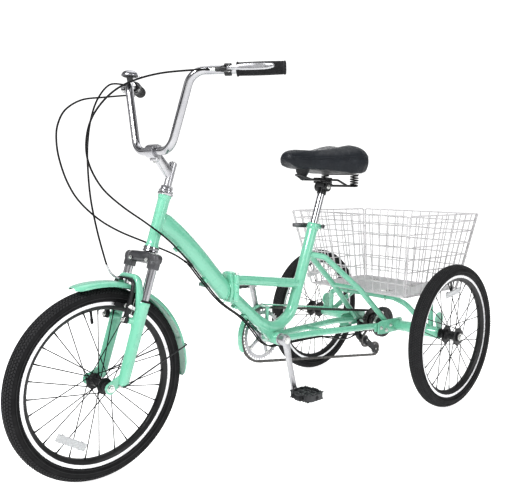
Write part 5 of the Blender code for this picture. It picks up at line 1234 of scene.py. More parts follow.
BASKET_BOLT_Y = (0.524, 0.690)
BASKET_BOLT_X = 0.085
ARCH_KNEE, ARCH_FOOT, ARCH_R = (0.172, 0.351), (0.228, 0.262), 0.0095
carrier = Shape()
flange = [(0.4815, 0.2310), (0.5000, 0.2272), (0.6200, 0.2272), (0.6290, 0.2310), (0.6308, 0.2400), (0.6308, 0.2640),
          (0.6270, 0.2740), (0.6180, 0.2768), (0.4950, 0.2768), (0.4830, 0.2720), (0.4812, 0.2600), (0.4812, 0.2400)]
web = [(REAR_AXLE.y - 0.0130, 0.2560), (REAR_AXLE.y + 0.0170, 0.2560), (REAR_AXLE.y + 0.0200, 0.2960),
       (REAR_AXLE.y - 0.0120, 0.2960)]
disc_x = AXLE_TUBE_END - 0.0090
for _, side in SIDES:
    flange_x = (PLATE_X + 0.0058) * side
    carrier.axle(REAR_AXLE, flange_x, AXLE_TUBE_END * side, AXLE_TUBE_R, sides=44, chamfer=0.0010)
    carrier.plate(flange, 0.0050, in_side_plane(flange_x), 0.0008)
    spot = Vector((disc_x * side, REAR_AXLE.y + 0.004, 0.300))
    carrier.axle(spot, -side * 0.0030, side * 0.0030, 0.0240, sides=48, chamfer=0.0010)
    carrier.axle(spot, side * 0.0020, side * 0.0044, 0.0120, sides=32, chamfer=0.0010)
    carrier.plate(web, 0.0050, in_side_plane(disc_x * side), 0.0008)
    weld_at = REAR_AXLE + X * (flange_x + side * 0.0028)
    carrier.bead([weld_at + out_at(a) * (AXLE_TUBE_R + 0.0004) for a in round_turn(56)], 0.0014)
for y_top, y_foot in zip(BASKET_BOLT_Y, (0.590, 0.606)):
    for side in (-1, 1):
        knee = Vector((ARCH_KNEE[0] * side, y_top, ARCH_KNEE[1]))
        foot = Vector((ARCH_FOOT[0] * side, y_foot, ARCH_FOOT[1]))
        carrier.bead(joint_line(knee, foot - knee, ARCH_R, REAR_AXLE, X, AXLE_TUBE_R), 0.0013)
    half = [foot, knee, Vector((0.120, y_top, 0.3655))]
    carrier.tube(rounded(half + [Vector((-p.x, p.y, p.z)) for p in half[::-1]], 0.035, 8), ARCH_R, 24)
for x in (-BASKET_BOLT_X, BASKET_BOLT_X):
    carrier.tube([(x, 0.505, 0.3655), (x, 0.710, 0.3655)], 0.0070, 20)
piece("axle_carrier_weldment", carrier, MINT, "rear_frame", ("axle_carrier",), smooth=45)

bearings, plate_bolts = Shape(), Shape()
for _, side in SIDES:
    bearings.axle(REAR_AXLE, AXLE_TUBE_END * side, (AXLE_TUBE_END + 0.0042) * side, 0.0170, sides=40, chamfer=0.0010)
    bearings.axle(REAR_AXLE, (AXLE_TUBE_END + 0.0040) * side, (AXLE_TUBE_END + 0.0090) * side, 0.0120, sides=32,
                  chamfer=0.0010)
    for y, z in ((0.497, 0.2520), (0.528, 0.2400), (0.5555, 0.2550)):
        for x, facing in ((PLATE_X + 0.0083, side), (PLATE_X - 0.0026, -side)):
            plate_bolts.bolt((x * side, y, z), X * facing, 0.0055, 0.0042)
    for y in BASKET_BOLT_Y:
        spot = Vector((BASKET_BOLT_X * side, y, 0.3748))
        plate_bolts.bolt(spot, Z, 0.0048, 0.0030)
        plate_bolts.rod(spot - Z * 0.034, spot - Z * 0.012, 0.0026, sides=14, chamfer=0.0004)
        plate_bolts.rod(spot - Z * 0.0250, spot - Z * 0.0195, 0.0048, sides=6, chamfer=0.0006)
piece("axle_bearings", bearings, BLACK_METAL, "rear_frame")
piece("carrier_bolts", plate_bolts, BRIGHT_BOLT, "rear_frame")

drum = Shape().lathe([(0.0190, 0.0110), (0.0260, 0.0100), (0.0290, 0.0118), (0.0520, 0.0118), (0.0560, 0.0130),
                      (0.0575, 0.0150), (0.0575, 0.0285), (0.0566, 0.0300), (0.0566, 0.0325), (0.0550, 0.0340),
                      (0.0380, 0.0342), (0.0360, 0.0325), (0.0200, 0.0325), (0.0180, 0.0340)], REAR_AXLE, X, 72)
drum_face = REAR_AXLE + X * 0.0340
for a in round_turn(12):
    drum.tube([drum_face + out_at(a) * radius for radius in (0.0400, 0.0535)], 0.0014, 8)
cable_anchor = [REAR_AXLE + Vector(p) for p in ((0.022, -0.052, 0.020), (0.026, -0.040, 0.044), (0.034, -0.032, 0.040))]
drum.tube(cable_anchor, 0.0055, 14)
piece("band_brake_drum", drum, BLACK_METAL, "rear_frame", ("band_brake",), bevel=0.0004)
BRAKE_ARM = Vector((0.040, 0.566, 0.290))
brake_arm = Shape().axle(BRAKE_ARM, -0.0035, 0.0035, 0.0075, sides=28, chamfer=0.0008)
pivot, elbow, tip = ((BRAKE_ARM.y - y, BRAKE_ARM.z - z) for y, z in ((0, 0), (0.030, 0.012), (0.046, 0.030)))
brake_arm.plate(stadium(pivot, 0.0058, elbow, 0.0046), 0.0034, in_side_plane(0.040), 0.0005)
brake_arm.plate(stadium(elbow, 0.0046, tip, 0.0040), 0.0034, in_side_plane(0.0402), 0.0005)
brake_arm.bolt(BRAKE_ARM + X * 0.0034, X, 0.0050, 0.0034, 6)
brake_arm.bolt(BRAKE_ARM + Vector((0.0018, -0.044, -0.028)), X, 0.0036, 0.0028, 6)
piece("band_brake_lever", brake_arm, BRIGHT_BOLT, "band_brake_arm", ("band_brake_arm",))

# ---------------------------------------------------------------- wire basket

wires, frame_wires = Shape(), Shape()


def basket_point(u, v, height):
    """A point on the basket's wall: u and v run from -1 to 1 across it and along it, and height from 0 to 1."""
    wide = (BASKET_FLOOR[0] * (1 - height) + BASKET_TOP[0] * height) / 2 - 0.0022
    long = (BASKET_FLOOR[1] * (1 - height) + BASKET_TOP[1] * height) / 2 - 0.0022
    middle = BASKET_FLOOR_Y * (1 - height) + BASKET_TOP_Y * height
    low, high = BASKET_FLOOR_Z + 0.0022, BASKET_TOP_Z - 0.0025
    return Vector((u * wide, middle + v * long, low * (1 - height) + high * height))


def wall_point(wall, along, height, inset=0.0):
    """A point on one wall of the basket: from -1 to 1 along it, and from 0 to 1 up it."""
    u, v = {"front": (along, -1), "left": (1, along), "rear": (-along, 1), "right": (-1, -along)}[wall]
    point = basket_point(u, v, height)
    inwards = {"front": Y, "left": -X, "rear": -Y, "right": X}[wall]
    return point + inwards * inset


WALL_WIRE_R = 0.0021
for wall, columns in (("front", 13), ("left", 11), ("rear", 13), ("right", 11)):
    edge = 0.970 if wall in ("front", "rear") else 0.985
    loop = [wall_point(wall, along * edge, height)
            for along, height in ((0, 0), (-1, 0), (-1, 1), (1, 1), (1, 0), (0, 0))]
    frame_wires.tube(rounded(loop, 0.007, 4)[:-1], 0.0026, 10, True)
    for column in range(1, columns):
        along = -edge + 2 * edge * column / columns
        lean = 0.001 * math.sin(column * 2.1)
        upright = [wall_point(wall, along + shift, height, 0.0018) for shift,
                   height in ((0, 0.002), (lean, 0.5), (0, 0.998))]
        wires.tube(upright, WALL_WIRE_R, 8)
    for height in (0.155, 0.31, 0.465, 0.62, 0.775, 0.905):
        wires.tube([wall_point(wall, -edge + 2 * edge * i / 6, height + 0.004 * math.sin(2.3 * i + 9 * height), -0.0006)
                    for i in range(7)], WALL_WIRE_R, 8)
for row in range(25):
    v = -0.97 + 1.94 * row / 24
    wires.tube([basket_point(u, v, 0.0) for u in (-0.985, 0.985)], 0.0014, 6)
for column in range(31):
    u = -0.975 + 1.95 * column / 30
    wires.tube([basket_point(u, v, 0.0) - Z * 0.0018 for v in (-0.985, 0.985)], 0.0014, 6)
floor_loop = [basket_point(u * 0.985, v * 0.985, 0) for u, v in ((0, -1), (-1, -1), (-1, 1), (1, 1), (1, -1), (0, -1))]
frame_wires.tube(rounded(floor_loop, 0.012, 4)[:-1], 0.0022, 10, True)
for u, v in ((-1, -1), (1, -1), (1, 1), (-1, 1)):
    for height in (0.10, 0.42, 0.74, 0.985):
        frame_wires.tube(oval(basket_point(u * 0.992, v * 0.990, height), X, Y, 0.0062, 0.0062, 16), 0.0013, 8, True)
piece("basket_wires", wires, WIRE, "rear_frame", ("basket",))
piece("basket_panel_frames", frame_wires, WIRE, "rear_frame")
straps = Shape()
for y in BASKET_BOLT_Y:
    for _, side in SIDES:
        straps.box((BASKET_BOLT_X * side, y, 0.3872), (0.030, 0.046, 0.0016), bevel=0.0005)
piece("basket_floor_clamps", straps, BRIGHT_BOLT, "rear_frame")

# ---------------------------------------------------------------- cranks, chainring and pedals

CRANK_ARM = (
    # along, out, half thickness, half width
    (-0.0145, 0.0580, 0.0062, 0.0090), (-0.008, 0.0582, 0.0076, 0.0150), (0.006, 0.0590, 0.0076, 0.0158),
    (0.024, 0.0602, 0.0066, 0.0124), (0.060, 0.0625, 0.0062, 0.0105), (0.110, 0.0672, 0.0060, 0.0098),
    (CRANK_LENGTH - 0.016, 0.0715, 0.0060, 0.0106), (CRANK_LENGTH, 0.0722, 0.0064, 0.0118),
    (CRANK_LENGTH + 0.0085, 0.0722, 0.0060, 0.0098), (CRANK_LENGTH + 0.0115, 0.0722, 0.0040, 0.0055),
)
for name, side in SIDES:
    down = CRANK_DOWN * side
    eye = CRANK + down * CRANK_LENGTH
    across = Vector((0, down.z, -down.y))
    arm = Shape().skin([oval(CRANK + down * a + X * x * side, X, across, thick, wide, 28, 3.2)
                        for a, x, thick, wide in CRANK_ARM])
    arm.axle(CRANK, 0.0368 * side, 0.0600 * side, 0.0160, 0.0158, 40, 0.0010)
    arm.axle(CRANK, 0.0500 * side, 0.0640 * side, 0.0188, 0.0180, 44, 0.0012)
    arm.axle(eye, 0.0650 * side, 0.0788 * side, 0.0115, sides=32, chamfer=0.0008)
    replaced = ("crank_left", "crank_spindle") if side > 0 else ("crank_right",)
    piece("crank_arm_" + name, arm, SATIN, "crankset", replaced, bevel=0.0004)
    cap = Shape().axle(CRANK, 0.0640 * side, 0.0676 * side, 0.0118, sides=36, chamfer=0.0008)
    cap.axle(CRANK, 0.0670 * side, 0.0684 * side, 0.0072, sides=6, chamfer=0.0004)
    cap.axle(eye, 0.0700 * side, 0.0840 * side, 0.0068, sides=6, chamfer=0.0008)
    cap.axle(eye, 0.0820 * side, 0.1690 * side, 0.0042, sides=20, chamfer=0.0006)
    piece("crank_hardware_" + name, cap, BRIGHT_BOLT, "crankset")
piece("crank_spindle_shaft", Shape().axle(CRANK, -0.0600, 0.0600, 0.0083, sides=32), BRIGHT_BOLT, "crankset")

TOOTH = ((-0.30, 0.0), (-0.16, 0.45), (-0.07, 1.0), (0.07, 1.0), (0.16, 0.45), (0.30, 0.0))


def gear_outline(teeth, root, tip):
    """The outline of a sprocket: rounded gullets between blunt teeth."""
    points = []
    for tooth in range(teeth):
        for share, level in TOOTH:
            angle, radius = TAU * (tooth + share) / teeth, root + (tip - root) * level
            points.append((radius * math.cos(angle), radius * math.sin(angle)))
    return points


RING_TEETH = 44
ring_place = Matrix.Translation(CRANK) @ in_side_plane(CHAIN_X)
ring = Shape().ring_plate(gear_outline(RING_TEETH, RING_R - 0.0062, RING_R - 0.0006),
                          gear_outline(RING_TEETH, 0.0690, 0.0690), 0.0026, ring_place)
ring.ring_plate(flat_ring(0.0720, 96), flat_ring(0.0680, 96), 0.0040, ring_place)
ring_bolts = Shape()
ring_middle = CRANK + X * CHAIN_X
for a in round_turn(5):
    out, beside = out_at(a), out_at(a + math.pi / 2)
    stops = ((0.0150, 0.0105, 0.0034), (0.0300, 0.0072, 0.0028), (0.0480, 0.0062, 0.0024), (0.0620, 0.0078, 0.0020),
             (0.0700, 0.0120, 0.0018))
    ring.skin([oval(ring_middle + out * r, beside, X, wide, thick, 20, 3.0) for r, wide, thick in stops])
    for near, far in ((-0.0018, -0.0040), (0.0018, 0.0040)):
        ring_bolts.axle(ring_middle + out * 0.0640, near, far, 0.0044, chamfer=0.0006)
ring.axle(ring_middle, -0.0040, 0.0050, 0.0215, sides=40, chamfer=0.0010)
piece("chainring_toothed", ring, SATIN, "crankset", ("chainring",), bevel=0.0003)
piece("chainring_bolts", ring_bolts, BRIGHT_BOLT, "crankset")

PEDAL_HALF_X, PEDAL_HALF_Y = 0.0438, 0.0455
quarter = ((1.0, 0.52), (0.80, 0.80), (0.40, 0.84), (0.16, 1.0))
rim_line = [(u * PEDAL_HALF_X, v * PEDAL_HALF_Y) for u, v in
            [(-u, -v) for u, v in quarter] + [(u, -v) for u, v in quarter[::-1]]
            + list(quarter) + [(-u, v) for u, v in quarter[::-1]]]
studs = [(x * 0.0092, y * (0.0340 if abs(x) > 1 else 0.0395), 0.0050, 0.0060) for x in range(-4, 5) for y in (-1, 1)]
studs += [(x, y, 0.0060, 0.0070) for x in (-0.0385, 0.0385) for y in (-0.014, 0.0, 0.014)]
for name, side in SIDES:
    middle = CRANK + CRANK_DOWN * side * CRANK_LENGTH + X * 0.1265 * side
    pedal = Shape().ring_plate(rim_line, [(u * 0.80, v * 0.80) for u, v in rim_line], 0.0200,
                               Matrix.Translation(middle))
    pedal.axle(middle, -0.0415, 0.0415, 0.0092, sides=28, chamfer=0.0008)
    for y in (-0.0235, 0.0235):
        pedal.box(middle + Y * y, (0.0800, 0.0070, 0.0150), bevel=0.0010)
    for x in (-0.024, 0.0, 0.024):
        pedal.box(middle + X * x, (0.0060, 0.0780, 0.0150), bevel=0.0010)
    for x, y, wide, long in studs:
        for lift in (-0.0104, 0.0104):
            pedal.box(middle + Vector((x, y, lift)), (wide, long, 0.0030), bevel=0.0006)
    piece("pedal_platform_" + name, pedal, PLASTIC, name + "_pedal", ("pedal_" + name,), bevel=0.0006)
    end_cap = Shape().axle(middle, side * 0.0410, side * 0.0440, 0.0075, sides=28, chamfer=0.0008)
    for y in (-0.0440, 0.0440):
        for index in range(9):
            end_cap.box(middle + Vector((-0.020 + 0.005 * index, y, 0)), (0.0040, 0.0040, 0.0110), bevel=0.0005)
    piece("pedal_cap_" + name, end_cap, GRIP, name + "_pedal")

# ---------------------------------------------------------------- chain, sprockets and derailleur


def belt_path(wheels, step_angle=4):
    """A closed path that wraps round wheels of (y, z, radius, turn), a turn of -1 passing on the other side."""
    spans = []
    for (y1, z1, r1, turn1), (y2, z2, r2, turn2) in zip(wheels, wheels[1:] + wheels[:1]):
        gap, bearing = math.hypot(y2 - y1, z2 - z1), math.atan2(z2 - z1, y2 - y1)
        direction = bearing + math.asin((turn1 * r1 - turn2 * r2) / gap)
        spans.append(direction - math.pi / 2)
    path = []
    for index, (y, z, radius, turn) in enumerate(wheels):
        arrive, leave = spans[index - 1], spans[index]
        sweep = (leave - arrive) * turn % TAU
        steps = max(2, round(sweep / math.radians(step_angle)))
        for step in range(steps + 1):
            out = out_at(arrive + turn * sweep * step / steps) * turn * radius
            path.append(Vector((CHAIN_X, y, z)) + out)
    return path


CLEAR = 0.0049
PITCH = 0.0127
route = belt_path([(place.y, place.z, radius + CLEAR, turn) for place, radius, turn in
                   ((CRANK, RING_R, -1), (REAR_AXLE, COG_R, -1), (UPPER_JOCKEY, JOCKEY_R, 1),
                    (LOWER_JOCKEY, JOCKEY_R, -1))])
lengths = [0.0]
for first, second in zip(route, route[1:] + route[:1]):
    lengths.append(lengths[-1] + (second - first).length)
LINKS = 2 * round(lengths[-1] / PITCH / 2)


def on_route(distance):
    """The point at a distance along the chain."""
    distance %= lengths[-1]
    low = max(index for index, length in enumerate(lengths[:-1]) if length <= distance)
    t = (distance - lengths[low]) / max(lengths[low + 1] - lengths[low], 1e-9)
    return route[low].lerp(route[(low + 1) % len(route)], t)


links, rollers = Shape(), Shape()
for index in range(LINKS):
    a, b = on_route(index * lengths[-1] / LINKS), on_route((index + 1) * lengths[-1] / LINKS)
    middle, lean = (a + b) / 2, (b - a).normalized()
    waisted = []
    for y, z in stadium((a.y, a.z), 0.0041, (b.y, b.z), 0.0041, 6):
        gap = Vector((0, y - middle.y, z - middle.z))
        part_along = gap.dot(lean)
        squeeze = 1 - 0.22 * max(0.0, 1 - abs(part_along) / 0.0064)
        gap = lean * part_along + (gap - lean * part_along) * squeeze
        waisted.append((middle.y + gap.y, middle.z + gap.z))
    for sign in (-1, 1):
        links.plate(waisted, 0.0010, in_side_plane(CHAIN_X + sign * (0.0030 if index % 2 else 0.0020)))
    rollers.axle(a, -0.0038, 0.0038, 0.0016, sides=8)
    rollers.axle(a, -0.0015, 0.0015, 0.0036, sides=10)
piece("chain_links", links, STEEL, "rear_frame", ("chain",), smooth=25)
piece("chain_rollers", rollers, STEEL, "rear_frame")

COGS = 7
FIRST_COG_R = 0.0490
sprockets = Shape()
for cog in range(COGS):
    pitch_r = FIRST_COG_R - (FIRST_COG_R - COG_R) * cog / (COGS - 1)
    outline = gear_outline(round(TAU * pitch_r / PITCH), pitch_r - 0.0040, pitch_r + 0.0006)
    hole = flat_ring(pitch_r * (0.62 if cog < 5 else 0.5), len(outline))
    place = Matrix.Translation(REAR_AXLE) @ in_side_plane(-0.02745 - cog * 0.0037)
    sprockets.ring_plate(outline, hole, 0.0019, place)
sprockets.axle(REAR_AXLE, -0.0245, -0.0520, 0.0205, 0.0150, 40, 0.0008)
sprockets.axle(REAR_AXLE, -0.0510, -0.0545, 0.0125, 0.0120, 32, 0.0006)
piece("freewheel_sprockets", sprockets, STEEL, "freewheel", ("freewheel",), smooth=25)

for name, centre in (("upper", UPPER_JOCKEY), ("lower", LOWER_JOCKEY)):
    place = Matrix.Translation(Vector((0, centre.y, centre.z))) @ in_side_plane(CHAIN_X)
    outline = gear_outline(11, JOCKEY_R - 0.0040, JOCKEY_R + 0.0006)
    jockey = Shape().ring_plate(outline, flat_ring(0.0118, len(outline)), 0.0030, place)
    jockey.lathe([(0.0122, 0.0024), (0.0122, -0.0024), (0.0036, -0.0024), (0.0036, 0.0024)], centre, X, 32, closed=True)
    piece("jockey_wheel_" + name, jockey, PLASTIC, name + "_jockey", ("jockey_" + name,))

HANGER = Vector((0, 0.5900, 0.2240))
CAGE_PIVOT = Vector((0, 0.5920, 0.1660))
mech = Shape()
mech.tube([(-0.0768, 0.575, 0.242), (-0.0760, 0.584, 0.232), (-0.0745, 0.590, 0.222)], 0.0058, 18)
mech.axle(HANGER, -0.0860, -0.0640, 0.0100, sides=28, chamfer=0.0010)
mech.skin([oval((x, y, z), X, Vector((0, 0.7, 0.7)), wide, tall, 24, 3.0) for x, y, z, wide, tall in
           ((-0.0745, 0.590, 0.226, 0.0085, 0.0100), (-0.0735, 0.580, 0.213, 0.0096, 0.0122),
            (-0.0715, 0.567, 0.197, 0.0104, 0.0136), (-0.0690, 0.576, 0.180, 0.0092, 0.0136),
            (-0.0655, 0.590, 0.166, 0.0078, 0.0124))])
mech.axle(CAGE_PIVOT, -0.0740, -0.0595, 0.0140, sides=32, chamfer=0.0012)
cage = stadium((UPPER_JOCKEY.y, UPPER_JOCKEY.z), 0.0100, (LOWER_JOCKEY.y, LOWER_JOCKEY.z), 0.0085, 12)
for offset in (-0.0074, 0.0064):
    mech.plate(cage, 0.0016, in_side_plane(CHAIN_X + offset), 0.0003)
mech.tube([(-0.0755, 0.549, 0.186), (-0.0755, 0.560, 0.192), (-0.0740, 0.570, 0.198)], 0.0040, 14)
piece("derailleur_castings", mech, PLASTIC, "rear_frame", ("rear_derailleur",), bevel=0.0003)
mech_bolts = Shape()
for centre in (UPPER_JOCKEY, LOWER_JOCKEY):
    mech_bolts.axle(centre, -0.0095, 0.0085, 0.0030, sides=16, chamfer=0.0004)
    mech_bolts.axle(centre, -0.0082, -0.0108, 0.0048, sides=20, chamfer=0.0006)
mech_bolts.bolt(HANGER - X * 0.0858, -X, 0.0054, 0.0030, 24)
mech_bolts.bolt((-0.0800, 0.5660, 0.1960), -X, 0.0036, 0.0026, 16)
mech_bolts.bolt(CAGE_PIVOT - X * 0.0738, -X, 0.0046, 0.0026, 16)
spring_at = Vector((-0.0700, 0.5660, 0.1960))
mech_bolts.tube([spring_at + Vector((0.0045 * math.cos(a), 0.0012 * a, 0.0045 * math.sin(a)))
                 for a in (0.45 * i for i in range(46))], 0.0008, 6)
piece("derailleur_hardware", mech_bolts, BRIGHT_BOLT, "rear_frame")


def strip(path, half_width, thickness, lip):
    """A folded strip along a path in one plane of X: flat across the top, with a lip down each side."""
    half = [(half_width, -lip), (half_width, 0), (half_width - 0.0012, thickness)]
    inside = [(half_width - 0.0011, -lip), (half_width - 0.0011, -0.0004)]
    section = ([(-x, h) for x, h in half] + half[::-1] + inside + [(-x, h) for x, h in inside[::-1]])
    rings = []
    for index, point in enumerate(path):
        after, before = path[min(index + 1, len(path) - 1)], path[max(index - 1, 0)]
        normal = (after - before).cross(X).normalized()
        inwards = (point - CRANK).dot(normal) < 0 if point.y < 0.12 else normal.z < -0.2
        normal = -normal if inwards else normal
        rings.append([point + X * x + normal * h for x, h in section])
    return Shape().skin(rings)


GUARD_FOOT = Vector((0, 0.014, 0.3738))
guard_line = [CRANK + X * CHAIN_X + out_at(math.radians(205 - 121 * i / 30)) * (RING_R + 0.0162) for i in range(31)]
ends = [Vector((CHAIN_X, 0.160, 0.3560)), Vector((CHAIN_X, 0.375, 0.3235))]
guard_line += [ends[0].lerp(ends[1], i / 8) for i in range(9)]
guard = strip(smooth_path(guard_line, 80), 0.0088, 0.0010, 0.0030)
guard.box(GUARD_FOOT - X * 0.0280, (0.0460, 0.0180, 0.0026), bevel=0.0006)
guard.rod(GUARD_FOOT - X * 0.0115, (-0.0115, 0.014, 0.3180), 0.0050, sides=20)
piece("chain_guard_strip", guard, MINT, "rear_frame", ("chain_guard",), smooth=50)
guard_bolts = Shape()
for x in (-0.0440, -0.0130):
    guard_bolts.bolt(GUARD_FOOT + Vector((x, 0, 0.0013)), Z, 0.0042, 0.0026)
piece("chain_guard_bolts", guard_bolts, BRIGHT_BOLT, "rear_frame")

# ---------------------------------------------------------------- saddle, its frame and the seatpost

post = Shape().rod(SEAT_TOP - SEAT_AXIS * 0.150, POST_TOP + SEAT_AXIS * 0.006, POST_R, POST_R, 48, 0.0010)
piece("seatpost_tube", post, CHROME, "seat", ("seatpost",))
RAIL_X = 0.0210
RAIL_Z = POST_TOP.z + 0.0285
SPRING_Y = POST_TOP.y + 0.088
SPRING_TURNS, SPRING_STEPS, SPRING_RISE = 4.5, 18, 0.0370
head = POST_TOP + Z * 0.004
saddle_clamp, clamp_nuts, rails = Shape(), Shape(), Shape()
saddle_clamp.axle(head, -0.0260, 0.0260, 0.0150, sides=40, chamfer=0.0012)
saddle_clamp.rod(POST_TOP - SEAT_AXIS * 0.022, POST_TOP + SEAT_AXIS * 0.008, 0.0158, sides=40, chamfer=0.0012)
saddle_clamp.box(POST_TOP + Vector((0, -0.010, 0.012)), (0.034, 0.012, 0.016), bevel=0.002)
for _, side in SIDES:
    x = RAIL_X * side
    for lift, size in ((-0.0075, (0.0140, 0.0340, 0.0070)), (0.0050, (0.0140, 0.0340, 0.0050)),
                       (-0.0140, (0.0090, 0.0220, 0.0130))):
        saddle_clamp.box((x, POST_TOP.y, RAIL_Z + lift), size, bevel=0.0015)
    clamp_nuts.bolt(head + X * 0.0260 * side, X * side, 0.0062, 0.0050)
    line = [(x * 0.35, POST_TOP.y - 0.125, RAIL_Z + 0.014), (x, POST_TOP.y - 0.080, RAIL_Z),
            (x, POST_TOP.y + 0.055, RAIL_Z), (x * 1.6, SPRING_Y, RAIL_Z - 0.018)]
    rails.tube(rounded(line, 0.02, 5), 0.0036, 16)
    base = Vector((0.066 * side, SPRING_Y, RAIL_Z - 0.0200))
    coil = []
    for index in range(int(SPRING_TURNS * SPRING_STEPS) + 1):
        a, share = TAU * index / SPRING_STEPS, index / (SPRING_TURNS * SPRING_STEPS)
        swell = 0.0118 + 0.0018 * math.sin(math.pi * share)
        coil.append(base + Vector((swell * math.cos(a), swell * math.sin(a), 0.0020 + SPRING_RISE * share)))
    rails.tube(coil, 0.0022, 10)
    rails.rod(base - Z * 0.0030, base + Z * 0.0006, 0.0125, sides=32, chamfer=0.0006)
    rails.rod(base + Z * SPRING_RISE, base + Z * 0.0400, 0.0140, sides=32, chamfer=0.0006)
for reach, y, z, radius, sides in ((0.0100, POST_TOP.y - 0.125, RAIL_Z + 0.014, 0.0036, 14),
                                   (0.0720, SPRING_Y, RAIL_Z - 0.0195, 0.0040, 16)):
    rails.tube([(-reach, y, z), (reach, y, z)], radius, sides)
spring_plate = [(x, POST_TOP.y + y) for x, y in
                ((-0.060, 0.070), (0.060, 0.070), (0.078, 0.100), (0.040, 0.112), (-0.040, 0.112), (-0.078, 0.100))]
rails.plate(spring_plate, 0.0022, Matrix.Translation((0, 0, 0.8060)), 0.0004)
piece("saddle_clamp", saddle_clamp, BLACK_METAL, "seat", bevel=0.0004)
piece("saddle_clamp_nuts", clamp_nuts, BRIGHT_BOLT, "seat")
piece("saddle_rails_and_springs", rails, BLACK_METAL, "seat", ("saddle_frame",))

SADDLE_STATIONS = (
    # y, half width, lowest, highest, dip of the middle
    (0.066, 0.014, 0.832, 0.859, 0.000), (0.072, 0.027, 0.823, 0.869, 0.000), (0.086, 0.036, 0.817, 0.876, 0.000),
    (0.110, 0.042, 0.815, 0.879, 0.000), (0.150, 0.052, 0.814, 0.880, 0.001), (0.185, 0.063, 0.812, 0.881, 0.003),
    (0.215, 0.078, 0.811, 0.885, 0.005), (0.245, 0.095, 0.807, 0.890, 0.007), (0.275, 0.109, 0.803, 0.896, 0.009),
    (0.305, 0.119, 0.800, 0.903, 0.011), (0.335, 0.122, 0.799, 0.909, 0.012), (0.358, 0.118, 0.802, 0.910, 0.011),
    (0.374, 0.108, 0.808, 0.907, 0.008), (0.385, 0.092, 0.816, 0.900, 0.004), (0.390, 0.070, 0.826, 0.892, 0.001),
)


def saddle_body():
    """The saddle's padded body: a closed crowned form, deeper over the seat bones, with its sides tucked in below."""
    inset = 0.0025
    rings = []
    for y, half, low, high, dip in SADDLE_STATIONS:
        half, low, high = half - inset, low + inset, high - inset
        middle = low + 0.42 * (high - low)
        ring = []
        for point in oval((0, y, middle), X, Z, half, high - middle, 40, 2.5):
            z = max(point.z, low + 0.10 * (middle - low))
            share = point.x / half
            if point.z > middle:
                z -= dip * math.exp(-((point.x / (half * 0.30)) ** 2))
            else:
                z = middle + (z - middle) * (0.66 + 0.34 * min(1.0, max(0.0, abs(share) - 0.45) * 2.2))
            ring.append(Vector((point.x, y, z)))
        rings.append(ring)
    made = bpy.data.objects.new("saddle_pad", Shape().skin(rings).mesh("saddle_pad"))
    scene.collection.objects.link(made)
    return made


def baked(obj):
    """The object's mesh with its modifiers applied."""
    bpy.context.view_layer.update()
    graph = bpy.context.evaluated_depsgraph_get()
    mesh = bpy.data.meshes.new_from_object(obj.evaluated_get(graph))
    obj.modifiers.clear()
    obj.data = mesh
    return obj


def puffed(obj, voxel, cap):
    """Remeshes a pad evenly, inflates it as cloth, and keeps each point within a cap of where it was."""
    remesh = obj.modifiers.new("remesh", "REMESH")
    remesh.mode = "VOXEL"
    remesh.voxel_size = voxel
    baked(obj)
    before = [vert.co.copy() for vert in obj.data.vertices]
    low = min(point.z for point in before)
    group = obj.vertex_groups.new(name="held")
    group.add([i for i, point in enumerate(before) if point.z < low + 0.012], 1.0, "REPLACE")
    cloth = obj.modifiers.new("cloth", "CLOTH")
    cloth.settings.quality = 6
    cloth.settings.mass = 0.4
    cloth.settings.use_pressure = True
    cloth.settings.uniform_pressure_force = 4.0
    cloth.settings.effector_weights.gravity = 0
    cloth.settings.vertex_group_mass = "held"
    cloth.point_cache.frame_start, cloth.point_cache.frame_end = 1, 20
    for number in range(1, 21):
        scene.frame_set(number)
    baked(obj)
    scene.frame_set(1)
    for vert, start in zip(obj.data.vertices, before):
        moved = vert.co - start
        if moved.length > cap:
            vert.co = start + moved * (cap / moved.length)
    return obj


saddle = saddle_body()
puffed(saddle, 0.0050, 0.0060)
relax = saddle.modifiers.new("relax", "SMOOTH")
relax.factor = 0.5
relax.iterations = 5
finer = saddle.modifiers.new("finer", "SUBSURF")
finer.levels = finer.render_levels = 1
baked(saddle)
saddle.data.materials.clear()
saddle.data.materials.append(VINYL[0])
saddle.data.shade_smooth()
saddle.name = "saddle_cover"
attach(saddle, "seat")
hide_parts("saddle")

# the seam where the top panel meets the side skirt, laid on the finished surface
SEAM_SHARE = 0.60
surface = BVHTree.FromPolygons([v.co[:] for v in saddle.data.vertices], [p.vertices[:] for p in saddle.data.polygons])
seam_line = []
for sign, stations in ((1, SADDLE_STATIONS[1:-1]), (-1, SADDLE_STATIONS[-2:0:-1])):
    for y, half, low, high, _ in stations:
        height = low + SEAM_SHARE * (high - low)
        hit = surface.ray_cast(Vector((sign * half * 1.3, y, height)), Vector((-sign, 0, 0)))[0]
        seam_line.append(hit or Vector((sign * half, y, height)))
seam_line = smooth_path(seam_line + seam_line[:1], 260)[:-1]
seam_line = [surface.find_nearest(point)[0] for point in seam_line]
piece("saddle_piping", Shape().tube(seam_line, 0.0017, 8, True), VINYL, "seat", smooth=60)
STITCH_LIFT = 0.0052
stitches = Shape()
for a, b in zip(seam_line, seam_line[1:] + seam_line[:1]):
    lifted = []
    for t in (0.15, 0.80):
        near, normal, _, _ = surface.find_nearest(a.lerp(b, t) + Z * STITCH_LIFT)
        lifted.append(near + normal * 0.0004)
    start, end = lifted
    stitches.tube([start - (end - start) * 0.02, (start + end) / 2 + normal * 0.0003, end], 0.0005, 6)
piece("saddle_stitches", stitches, THREAD, "seat")
base_shell = Shape().skin([oval((0, y, low + 0.0120), X, Z, half * 0.74, 0.0040, 28, 3.0)
                           for y, half, low, _, _ in SADDLE_STATIONS[4:-2]])
